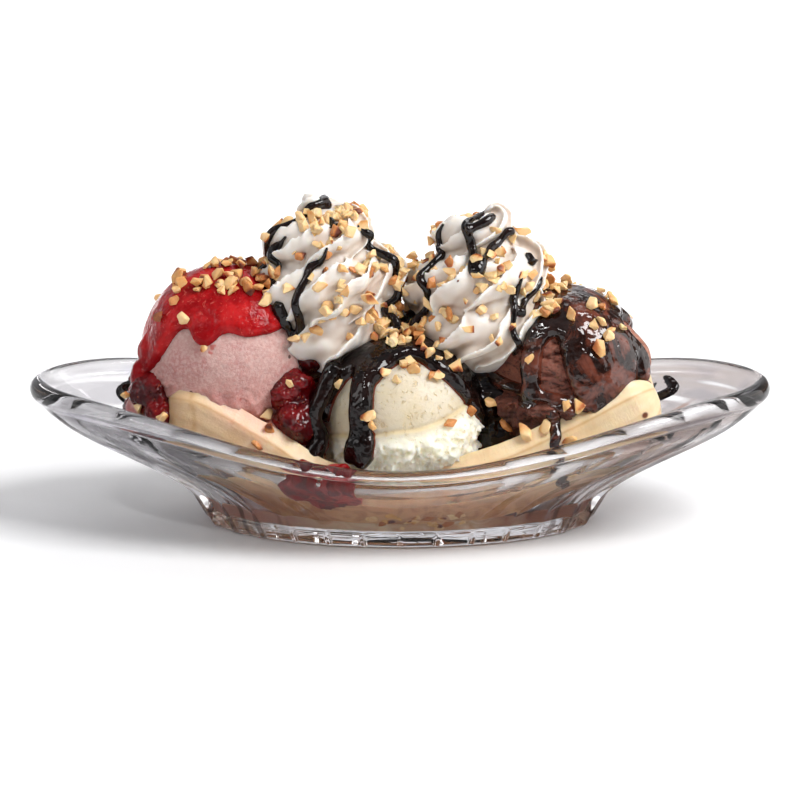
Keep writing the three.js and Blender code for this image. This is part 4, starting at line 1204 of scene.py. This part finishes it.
# %% Crushed strawberries
crushed = Finish("crushed_strawberry", Roughness=0.09, IOR=1.38)
crushed.glow(0.7, (1.0, 0.12, 0.1), 3)
flesh = crushed.mask(crushed.noise(8, 3, 0.6), 0.4, 0.62)
deep = crushed.mix(flesh, paint(70, 5, 9), paint(118, 13, 17))
dimples = crushed.from_seeds(520.0)
seed_dots = crushed.mask(dimples, 0.2, 0.12)
crushed.colour(crushed.mix(seed_dots * 0.4, deep, paint(190, 90, 50)))
crushed.bump(crushed.noise(3.2, 2, 0.5) + crushed.mask(dimples, 0.0, 0.45) * 0.4, 1.0, 0.9)

slices = Finish("strawberry_slices", Roughness=0.3, IOR=1.38)
slices.glow(0.2, (1.0, 0.15, 0.1), 3)
slice_parts = slices.noise(11, 2, 0.5, distortion=1.0)
off_middle = slices.node("ShaderNodeMath", {"operation": "ABSOLUTE"}, {0: slice_parts - 0.5})
heart = slices.mask(off_middle, 0.035, 0.01)
slice_red = slices.mix(slices.mask(slices.noise(3, 3, 0.6), 0.4, 0.62), paint(92, 2, 5), paint(138, 8, 12))
slices.colour(slices.mix(heart * 0.45, slice_red, paint(196, 84, 78)))
slices.bump(slices.noise(2, 3), 0.5, 0.6)

FRUIT = {
    "strawberries_left": [(-77, -14, 45, 7), (-80, -6, 39, 7), (-75, -19, 39, 5.5), (-79, 4, 43, 7.5)],
    "strawberries_middle": [(-29, -10, 58, 8), (-34, -20, 48, 7), (-32, -24, 39, 7), (-28, 0, 50, 9)],
    "strawberries_back": [(-5, 14, 39, 8.5), (7, 15, 43, 8), (17, 13, 37, 8)],
    "strawberry_slice_front": [(-30, -36, 23, 6.5), (-19, -37, 22, 6.5), (-24, -35, 15, 6)],
}
for number, (node, berries) in enumerate(FRUIT.items()):
    meshes = []
    for i, (x, y, z, radius) in enumerate(berries):
        whole, faces = lump((x, y, z), radius, (1, 1, 1), 80 + 10 * number + i, 4, 0.16, 1.1)
        meshes.append((pressed_to_dish(whole, 0.35), faces))
        for k in range(9):
            way = way_of(137.5 * k + 40 * i, 75 - 19.0 * k)
            bit, bit_faces = lump(np.array((x, y, z)) + way * radius * 0.8, radius * (0.3 + 0.08 * (k % 3)),
                                  (1, 1, 0.8), 120 + 10 * i + k, 3, 0.25, 1.1)
            meshes.append((pressed_to_dish(bit, 0.35), bit_faces))
    finish = slices if "slice" in node else crushed
    melted_together("crushed_" + node, meshes, finish, [node], 0.4, 1)

# %% [markdown]
# Some strawberry ice cream has melted and fills the corner between its scoop, the banana and the fruit, and
# a dab of it lies beside the fruit at the left. A few flat lumps that flow into each other make it, with a
# wetter and more streaked finish than the scoop's.

# %% Melted strawberry ice cream
melted_pink = ice_cream("melted_strawberry_ice_cream", paint(206, 150, 144), (1.0, 0.45, 0.4), 0.25)
pink_streaks = melted_pink.mask(melted_pink.noise(6, 3, 0.6, distortion=1.5), 0.4, 0.62)
melted_pink.colour(melted_pink.mix(pink_streaks, paint(214, 168, 160), paint(188, 112, 108)))
melted_pink.bump(melted_pink.noise(2.5, 3, 0.6), 0.6, 0.7)
puddle = [lump((-38, -15, 40), 6.5, (1.3, 0.9, 1), 191), lump((-31, -15, 36), 6.5, (1.2, 1, 1), 192),
          lump((-44, -19, 41.5), 4.5, (1.5, 0.9, 0.8), 193), lump((-27, -18, 31), 6, (1, 1, 1), 194),
          lump((-36, -22, 37), 4.2, (1.5, 0.9, 0.8), 195), lump((-82, -13, 40), 4, (1.0, 0.8, 1.3), 196)]
melted_together("melted_strawberry_run", puddle, melted_pink, [], 0.4, 3)

# %% [markdown]
# ## Whipped cream
# Cream from a star nozzle comes out as a rope with sharp ridges, laid in a spiral that gets narrower, and
# the ridges turn round the rope like the thread of a screw. So the swirl is made as it is piped: rings with
# a star outline follow a spiral line, and a plain cone fills the middle. Where coils touch they are melted
# together. Soft bumps bend the ridges and make their edges frilly, so that no two folds are alike.

# %% Cream surface
CREAM_OUTLINE = [(0, 0), (11, 2.5), (20.5, 9), (23.8, 18), (23.6, 26), (21.8, 32), (18, 39), (13.8, 45),
                 (8.8, 50.5), (0, 53.5)]
LEFT_CREAM = {"axis": (-23.5, 0), "base": 51, "height": 53.5, "turns": 3.1, "start": 150, "seed": 21}
RIGHT_CREAM = {"axis": (25.5, 0), "base": 47, "height": 54.5, "turns": 3.0, "start": 20, "seed": 22}
RIDGES = 5  # round the rope
ROPE_STEPS = 460
ROPE_SIDES = 112
RIDGE_TURN = 0.13
RIDGE_LEAN = 0.4


def cream_rope(cream):
    """The ridged rope of one swirl, laid in its spiral."""
    outline = curve_through(CREAM_OUTLINE, 600)
    seed = cream["seed"]
    share = np.linspace(0, 1, ROPE_STEPS)
    rope = np.interp(share, [0, 0.3, 0.6, 0.85, 1], [9.5, 9.8, 8.6, 6.4, 3.2])
    height = mixed(8.5, cream["height"] - 1.5, share ** 1.05)
    edge = np.interp(height, outline[:, 1] * cream["height"] / CREAM_OUTLINE[-1][1], outline[:, 0])
    reach = np.maximum(edge - 0.9 * rope, 0)
    turn = np.radians(cream["start"] + 360 * cream["turns"] * share)
    centre = np.stack([cream["axis"][0] + reach * np.cos(turn),
                       cream["axis"][1] + reach * np.sin(turn), cream["base"] + height], axis=1)
    along = unit(np.gradient(centre, axis=0))
    walked = np.concatenate([[0], np.cumsum(np.linalg.norm(np.diff(centre, axis=0), axis=1))])
    radial = np.stack([np.cos(turn), np.sin(turn), 0 * turn], axis=1)
    radial = unit(radial - along * (radial * along).sum(axis=1)[:, None])
    upward = np.cross(radial, along)
    upward = upward * np.sign(upward[:, 2])[:, None]
    section, walk = np.meshgrid(np.linspace(0, 2 * np.pi, ROPE_SIDES, endpoint=False), walked)
    plain = (centre[:, None] + rope[:, None, None] * (np.cos(section)[..., None] * radial[:, None]
                                                      + np.sin(section)[..., None] * upward[:, None]))
    spot = plain.reshape(-1, 3)
    bend = 0.5 * bumps(spot, 13, seed) + 0.2 * bumps(spot, 5, seed + 1)
    phase = RIDGES / 2 * (section - RIDGE_TURN * walk + bend.reshape(section.shape))
    ridge = (1 - np.abs(np.cos(phase))) ** 1.3
    depth = 0.5 * (0.8 + 0.5 * bumps(spot, 10, seed + 2).reshape(section.shape))
    frill = 0.13 * ridge ** 3 * bumps(spot, 2.4, seed + 3).reshape(section.shape)
    soft = 0.08 * bumps(spot, 6, seed + 4).reshape(section.shape)
    swell = 0.86 + depth * (ridge - 0.3) + frill + soft
    leaned = section + RIDGE_LEAN * ridge ** 2
    spoke = np.cos(leaned)[..., None] * radial[:, None] + np.sin(leaned)[..., None] * upward[:, None]
    rings = centre[:, None] + (swell * rope[:, None])[..., None] * spoke
    return skin(centre[0] - along[0] * 3, rings, centre[-1] + along[-1] * 1.5)


def cream_core(cream):
    outline = curve_through(CREAM_OUTLINE, 30)[1:-1]
    turn = np.radians(np.arange(0, 360, 10))
    rings = [np.stack([cream["axis"][0] + 0.84 * radius * np.cos(turn),
                       cream["axis"][1] + 0.84 * radius * np.sin(turn),
                       cream["base"] + 0.95 * height + 0 * turn], axis=1) for radius, height in outline]
    middle = np.array([*cream["axis"], cream["base"]])
    return skin(middle, rings, middle + (0, 0, cream["height"] * 0.95))


# %% [markdown]
# Whipped cream is very white and soft with light: its folds never go dark, they turn a warm pale grey.
# Here that is painted into the colour: painted shade in the folds, and painted light that makes the thin
# crests the whitest. A crest stands out of its surroundings, so the mesh is smoothed many times and each
# vertex is compared with where it went: what moved inwards was a crest, and what moved outwards lay in a
# fold.

# %% Cream finish and meshes
whipped = Finish("whipped_cream", Roughness=0.42)
whipped.glow(0.6, (1.0, 0.8, 0.6), 1.5)


def crest_of(piece, rounds):
    """How far each vertex stands out of its surroundings, in millimetres."""
    places = mesh_of(piece)[0]
    ends = np.zeros(len(piece.data.edges) * 2, np.int64)
    piece.data.edges.foreach_get("vertices", ends)
    first, second = ends.reshape(-1, 2).T
    neighbours = np.bincount(ends, minlength=len(places))[:, None]
    settled = places
    for _ in range(rounds):
        total = np.zeros_like(places)
        np.add.at(total, first, settled[second])
        np.add.at(total, second, settled[first])
        settled = total / neighbours
    normals = np.zeros(len(places) * 3)
    piece.data.vertices.foreach_get("normal", normals)
    return ((places - settled) * normals.reshape(-1, 3)).sum(axis=1)


pale = whipped.mask(whipped.noise(12, 2), 0.35, 0.7)
# Painted shade in the folds, and painted light on the crests that stand out.
trough_shade = whipped.mix(pale, paint(206, 191, 176), paint(196, 174, 156))
crest = whipped.mask(whipped.worked("crest"), -0.35, 0.35)
whipped.colour(whipped.mix(crest, trough_shade, paint(242, 238, 232)))
whipped.bump(whipped.noise(1.3, 3, 0.6) * 0.5 + whipped.noise(0.5, 2) * 0.2, 0.25, 0.5)


swirls = {}
for side, cream in (("left", LEFT_CREAM), ("right", RIGHT_CREAM)):
    piped = melted_together("whipped_cream_" + side, [cream_rope(cream), cream_core(cream)], whipped,
                            ["cream_" + side], 0.42, 1)
    note_values(piped, "crest", crest_of(piped, 14))
    swirls[side] = mesh_of(piped)

# %% [markdown]
# ## Fudge strands on the cream
# Fudge that was poured from a spoon lies on the cream in strands as thick as a pencil lead. Each strand is
# a line of azimuths and heights round the swirl. A ray shot from that side towards the swirl's axis finds
# the surface, and the strand lies on it, bridging the narrow grooves as a thick syrup does. It starts thin
# and ends in a drop.

# %% Fudge strands
def surface_of(meshes):
    """Something that rays can hit, from one or more meshes."""
    vertices, faces, start = [], [], 0
    for part_vertices, part_faces in meshes:
        vertices += [Vector(place) for place in np.asarray(part_vertices).tolist()]
        faces += [tuple(i + start for i in face) for face in part_faces]
        start = len(vertices)
    return BVHTree.FromPolygons(vertices, faces)


def first_hit(surface, start, way):
    """Where a ray first meets a surface and the way out there, or None where it misses."""
    spot, normal, _, _ = surface.ray_cast(start, way)
    return (np.array(spot[:]), np.array(normal[:])) if spot is not None else None

def on_swirl(surface, cream, azimuth, height):
    """The point of a swirl's surface at an azimuth and a height above its base, and the way out there."""
    way = Vector((math.cos(math.radians(azimuth)), math.sin(math.radians(azimuth)), 0))
    axis = Vector((*cream["axis"], cream["base"] + min(height, cream["height"] - 1.5)))
    return first_hit(surface, axis + way * 60, -way) or (np.array(axis[:]), np.array((0, 0, 1.0)))


LEFT_STRANDS = {
    "outer": [(-140, 51), (-152, 48), (-160, 43), (-166, 37), (-168, 31), (-170, 25), (-171, 18), (-171, 11)],
    "second": [(-138, 43.5), (-148, 38.5), (-139, 34), (-141, 30), (-150, 26.5), (-165, 22.5)],
    "hook": [(-87, 41.9), (-92, 37.8), (-103, 35.5), (-106, 32), (-110, 28), (-111, 23), (-111, 16),
             (-117, 13.3), (-123, 18), (-128, 24)],
    "over_top": [(-170, 48), (-150, 51), (-110, 52), (-60, 52), (-40, 50.5)],
    "right": [(-42, 46.5), (-27, 42.5), (-22, 37.7), (-18, 34), (-16, 29), (-18, 23.3), (-29, 19), (-30, 11)],
    "far": [(110, 47), (104, 40), (92, 33), (96, 25), (90, 18)],
    "far_hook": [(55, 42), (62, 34), (50, 27), (57, 20)],
    "drop_front": [(-78, 48.5), (-75, 46.8)],
}
RIGHT_STRANDS = {
    "left": [(-160, 50), (-165, 45), (-152, 39.5), (-148, 35), (-142, 30.5), (-147, 25), (-150, 17)],
    "middle": [(-122, 53), (-112, 49), (-103, 43), (-98, 38)],
    "top": [(-60, 54), (-80, 52.5), (-112, 50)],
    "bow": [(-22, 44.5), (-35, 48.5), (-58, 45.5), (-76, 43.8), (-92, 41), (-98, 38)],
    "drop_right": [(-31, 41.5), (-33, 39)],
    "long": [(-54, 36), (-57, 32), (-64, 26.5), (-67, 20), (-60, 13), (-52, 8), (-50, 4)],
    "branch": [(-27, 34.5), (-42, 31), (-60, 25)],
    "far": [(95, 48), (78, 41), (84, 34), (72, 27), (80, 19)],
    "far_hook": [(150, 41), (142, 33), (150, 25), (140, 19)],
}


def strand(surface, cream, stops, seed):
    """A strand of fudge on a swirl."""
    stops = np.array(stops, float)
    line = curve_through(stops, max(8, int(np.abs(np.diff(stops[:, 1])).sum() * 2 + 14)))
    found = np.array([np.concatenate(on_swirl(surface, cream, *stop)) for stop in line])
    spots, outs = found[:, :3], found[:, 3:]
    reach = np.maximum(np.linalg.norm(spots[:, :2] - cream["axis"], axis=1), 0.5)
    bridged = reach.copy()
    for _ in range(10):
        bridged[1:-1] = np.maximum(bridged[1:-1], (bridged[:-2] + bridged[2:]) / 2)
    stretch = np.where(reach > 4, np.minimum(bridged, reach + 3) / reach, 1)
    spots[:, :2] = (spots[:, :2] - cream["axis"]) * stretch[:, None] + cream["axis"]
    for _ in range(3):
        spots[1:-1] = (spots[:-2] + 2 * spots[1:-1] + spots[2:]) / 4
        outs[1:-1] = (outs[:-2] + 2 * outs[1:-1] + outs[2:]) / 4
    share = np.linspace(0, 1, len(spots))
    wave = bumps(spots, 5, seed)
    taper = 0.35 + 0.65 * smooth_step(0, 0.2, share)
    radii = (1.35 + 0.6 * wave) * taper + 0.9 * np.exp(-((share - 0.96) / 0.07) ** 2)
    return tube(spots + unit(outs) * 0.35, np.maximum(radii, 0.5))


for side, cream, strands in (("left", LEFT_CREAM, LEFT_STRANDS), ("right", RIGHT_CREAM, RIGHT_STRANDS)):
    surface = surface_of([swirls[side]])
    meshes = [strand(surface, cream, stops, 90 + i) for i, stops in enumerate(strands.values())]
    sauce_over(melted_together("fudge_strands_" + side, meshes, fudge, [], 0.32, 3))

# %% [markdown]
# ## Chopped peanuts
# A roasted peanut that is chopped breaks into chips with flat cut faces. The smallest skin round a dozen
# random points is such a chip, with its edges bevelled a little. One side of it is the roasted outside of
# the nut and turns golden brown, and the cut faces stay pale. All the chips are one mesh, and each finds
# its place by a ray, so that it lies on the food below it.

# %% Chopped peanuts
chance = np.random.default_rng(7)


def nut_chip():
    """The vertices and triangles of one chip that is about 1 across."""
    builder = bmesh.new()
    for corner in unit(chance.normal(size=(12, 3))) * chance.uniform(0.42, 0.58, (12, 1)) * (1.2, 0.85, 0.7):
        builder.verts.new(corner)
    hull = bmesh.ops.convex_hull(builder, input=builder.verts)
    bmesh.ops.delete(builder, geom=hull["geom_interior"], context="VERTS")
    bmesh.ops.bevel(builder, geom=builder.edges[:], offset=0.04, segments=1, affect="EDGES",
                     clamp_overlap=True)
    bmesh.ops.triangulate(builder, faces=builder.faces[:])
    bmesh.ops.subdivide_edges(builder, edges=[e for e in builder.edges if e.calc_length() > 0.3], cuts=1)
    bmesh.ops.triangulate(builder, faces=builder.faces[:])
    builder.verts.ensure_lookup_table()
    builder.verts.index_update()
    places = np.array([vertex.co[:] for vertex in builder.verts])
    places = places * (1 + 0.2 * bumps(places, 0.32, int(chance.integers(99))))[:, None]
    triangles = [tuple(vertex.index for vertex in face.verts) for face in builder.faces]
    builder.free()
    return places, np.array(triangles)


DRAWER = [nut_chip() for _ in range(30)]
NUT_SIZES = (3.2, 5.8)  # the smallest and the largest, in millimetres
NUT_LIFT = 0.2  # how far the middle of a chip lies above the food, as a share of its size


def random_turn():
    first = unit(chance.normal(size=3))
    second = unit(np.cross(first, chance.normal(size=3)))
    return np.stack([first, second, np.cross(first, second)])


class NutHeap:
    """Collects the chips of the dessert into one mesh."""

    def __init__(self):
        self.vertices = []
        self.faces = []
        self.toast = []
        self.count = 0

    def add(self, spot, out, darker=0.0, wall=False):
        """Adds a chip that lies on the food at a spot. One at the wall is pressed to it."""
        size = chance.uniform(*NUT_SIZES)
        chip, triangles = DRAWER[chance.integers(len(DRAWER))]
        turned = chip @ random_turn()
        if np.any(out):
            across = unit(np.asarray(out, float))
            turned = turned - 0.18 * np.outer(turned @ across, across)
        skin_side = unit(chance.normal(size=3))
        roasted = chance.choice([0.0, 0.12, 0.3, 0.55], p=[0.45, 0.27, 0.18, 0.1]) + darker
        roasted = roasted + smooth_step(0.1, 0.35, turned @ skin_side) * chance.choice([0, 0.45, 1.0])
        centre = np.asarray(spot) + np.asarray(out) * size * NUT_LIFT
        placed = turned * size + centre
        if wall:
            placed = pressed_to_dish(placed, 0.5)
        self.faces.append(triangles + self.count)
        self.vertices.append(placed)
        self.toast.append(roasted)
        self.count += len(chip)

    def __len__(self):
        return len(self.vertices)


nuts = NutHeap()


def scattered_on(swirl, cream, count):
    """Spots spread over a swirl, more of them where it faces up, and the way out at each."""
    vertices, faces = swirl
    quads = np.array([face for face in faces if len(face) == 4])
    corners = vertices[quads]
    across = np.cross(corners[:, 2] - corners[:, 0], corners[:, 3] - corners[:, 1])
    middle = corners.mean(axis=1)
    away = middle - np.array([*cream["axis"], cream["base"] + 10])
    across = across * np.sign((across * away).sum(axis=1))[:, None]
    area = np.linalg.norm(across, axis=1) + 1e-12
    tilt = across[:, 2] / area
    height = middle[:, 2] - cream["base"]
    drifts = 0.15 + smooth_step(-0.35, 0.35, bumps(middle, 9, cream["seed"] + 60))
    weight = area * drifts * (0.5 + np.maximum(tilt, -0.5)) * smooth_step(3, 12, height)
    weight = weight * (height < cream["height"] - 4)
    chosen = chance.choice(len(quads), count, p=weight / weight.sum(), replace=False)
    return middle[chosen], across[chosen] / area[chosen][:, None]


for side, cream, count in (("left", LEFT_CREAM, 250), ("right", RIGHT_CREAM, 225)):
    for spot, out in zip(*scattered_on(swirls[side], cream, count)):
        nuts.add(spot, out)


def settled_from(surface, centre, azimuth, elevation):
    """The outermost point of the food along a direction from a centre, and the way out there."""
    way = Vector(way_of(azimuth, elevation).tolist())
    return first_hit(surface, Vector(centre) + way * 45, -way)


food = surface_of([mesh_of(piece) for piece in bpy.context.scene.objects
                   if piece.type == "MESH" and not piece.hide_render
                   and piece.name not in ("table", "glass_dish", "whipped_cream_left", "whipped_cream_right",
                                          "fudge_strands_left", "fudge_strands_right")])
# Where nuts gather: centre, azimuth, elevation, spread in degrees and how many.
NUT_CLUSTERS = [
    (STRAWBERRY["centre"], -70, 66, 26, 34), (STRAWBERRY["centre"], -150, 55, 18, 6),
    (STRAWBERRY["centre"], 60, 50, 35, 16), (STRAWBERRY["centre"], 170, 40, 25, 6),
    (VANILLA["centre"], -90, 80, 14, 18), (VANILLA["centre"], -60, 62, 16, 12),
    (VANILLA["centre"], 90, 60, 30, 12),
    (CHOCOLATE["centre"], -130, 66, 17, 16), (CHOCOLATE["centre"], -70, 50, 26, 9),
    (CHOCOLATE["centre"], 70, 45, 35, 14),
]
for centre, azimuth, elevation, spread, count in NUT_CLUSTERS:
    for _ in range(count):
        lift = np.clip(elevation + chance.normal() * spread * 0.6, -20, 89)
        turn = azimuth + chance.normal() * spread * 0.8 / max(math.cos(math.radians(lift)), 0.3)
        found = settled_from(food, centre, turn, lift)
        if found is not None:
            nuts.add(*found, darker=0.25 if centre is STRAWBERRY["centre"] else 0.0)

# Nuts that lie alone, seen from the front: how far right, and how high, each in millimetres.
LONE_NUTS = [(-34, 52), (-60, 63), (-66, 71), (-85, 45), (-82, 41), (-74, 40), (-42, 42), (-40, 38),
             (-44, 34), (-5, 57), (-1, 54), (-10, 44), (-9, 41), (-19, 51), (34, 37), (39, 36), (45, 38),
             (52, 35), (51, 45), (55, 45), (12, 55), (17, 56), (22, 43), (28, 43), (15, 41), (62, 69),
             (64, 65), (61, 62), (40, 59)]
IN_FRONT = -120  # a place well in front of the dish

def seen_from_front(x, z):
    """The first point of the food that is met from the front, and the way out there."""
    return first_hit(food, Vector((x, IN_FRONT, z)), Vector((0, 1, 0)))

for x, z in LONE_NUTS:
    found = seen_from_front(x, z)
    if found is not None:
        nuts.add(*found)

# %% [markdown]
# ## Fudge that ran and splashed
# Thin fudge has run over the front banana half, and some hit the far wall of the dish at both ends. The run
# is a strand that rays lay on the food. Each splash is a short smear that is widest in its middle. Its line
# starts outside the dish and is pressed back to the wall, so that it follows the glass.

# %% Fudge run and splashes
FUDGE_RUN = [(46.5, 42), (47.5, 39), (48, 36), (47.4, 33.5), (49, 31), (49.6, 28), (49, 25), (50.5, 21)]
RUN_SUNK = 1.2  # how far the middle of the run lies below the surface that carries it
hits = [seen_from_front(x, z) for x, z in curve_through(FUDGE_RUN, 34)]
run_spots = np.array([spot - normal * RUN_SUNK for spot, normal in filter(None, hits)])
run_radii = 2.1 + 0.9 * bumps(run_spots, 5, 97)
run_on_banana = melted_together("fudge_run_on_banana", [tube(run_spots, run_radii)], thin_fudge,
                                [], 0.35, 4)
sauce_over(run_on_banana)

# The middle line of each splash, and half its width: one at the left end, and two at the right.
SPLASHES = [
    ([(-110, 32, 38.5), (-115, 28, 37.4), (-118, 24, 35.8), (-117, 22, 34), (-115, 22, 33)], 1.5),
    ([(114, 34, 39.5), (121, 33, 38.5), (126, 30, 36.5), (124, 31, 34), (118, 34, 33)], 2.1),
    ([(117, 36, 37.5), (120, 36, 35.5), (123, 33, 34)], 1.2),
]
SPLASH_STEPS = 24

def splash(stops, half_width):
    """A smear on the wall that is widest in its middle."""
    line = pressed_to_dish(curve_through(stops, SPLASH_STEPS), 0.3)
    places, faces = tube(line, half_width * np.sin(np.linspace(0.4, 2.7, SPLASH_STEPS)), 8)
    return pressed_to_dish(places, 0.1), faces

smears = [splash(*each) for each in SPLASHES]
sauce_over(melted_together("fudge_splashes", smears, fudge, [], 0.3, 2))

# %% [markdown]
# The last nuts sank in the melt, and show through the glass along the front and the back. Then all chips
# become one mesh. Every point of it has a number for how roasted it is, from pale gold to dark brown.

# %% Sunken nuts and peanut finish
for x in np.linspace(-18, 46, 24):
    for y in (-60, 60):
        spot = pressed_to_dish(np.array([[x + chance.normal(), y, chance.uniform(7, 14)]]), -0.4)[0]
        nuts.add(spot, np.zeros(3), darker=0.1, wall=True)
print(len(nuts), "chips of peanut")

peanut = Finish("chopped_peanut", Roughness=0.45)
peanut.glow(0.35, (1.0, 0.6, 0.3), 1.5)
toast = peanut.worked("toast") + peanut.noise(1.6, 3, 0.6) * 0.35
shades = [(0.0, paint(238, 203, 150)), (0.3, paint(222, 168, 102)), (0.62, paint(180, 102, 48)),
          (1.0, paint(98, 40, 20))]
peanut.colour(peanut.node("ShaderNodeValToRGB", {"stops": shades}, {0: peanut.mask(toast, 0.1, 1.35)}))
peanut.bump(peanut.noise(0.9, 3, 0.6), 0.25, 0.7)
nut_faces = [tuple(face) for face in np.vstack(nuts.faces).tolist()]
all_nuts = make_piece("chopped_peanuts", np.vstack(nuts.vertices), nut_faces, peanut, [],
                      {"toast": np.concatenate(nuts.toast)})
all_nuts.data.shade_flat()
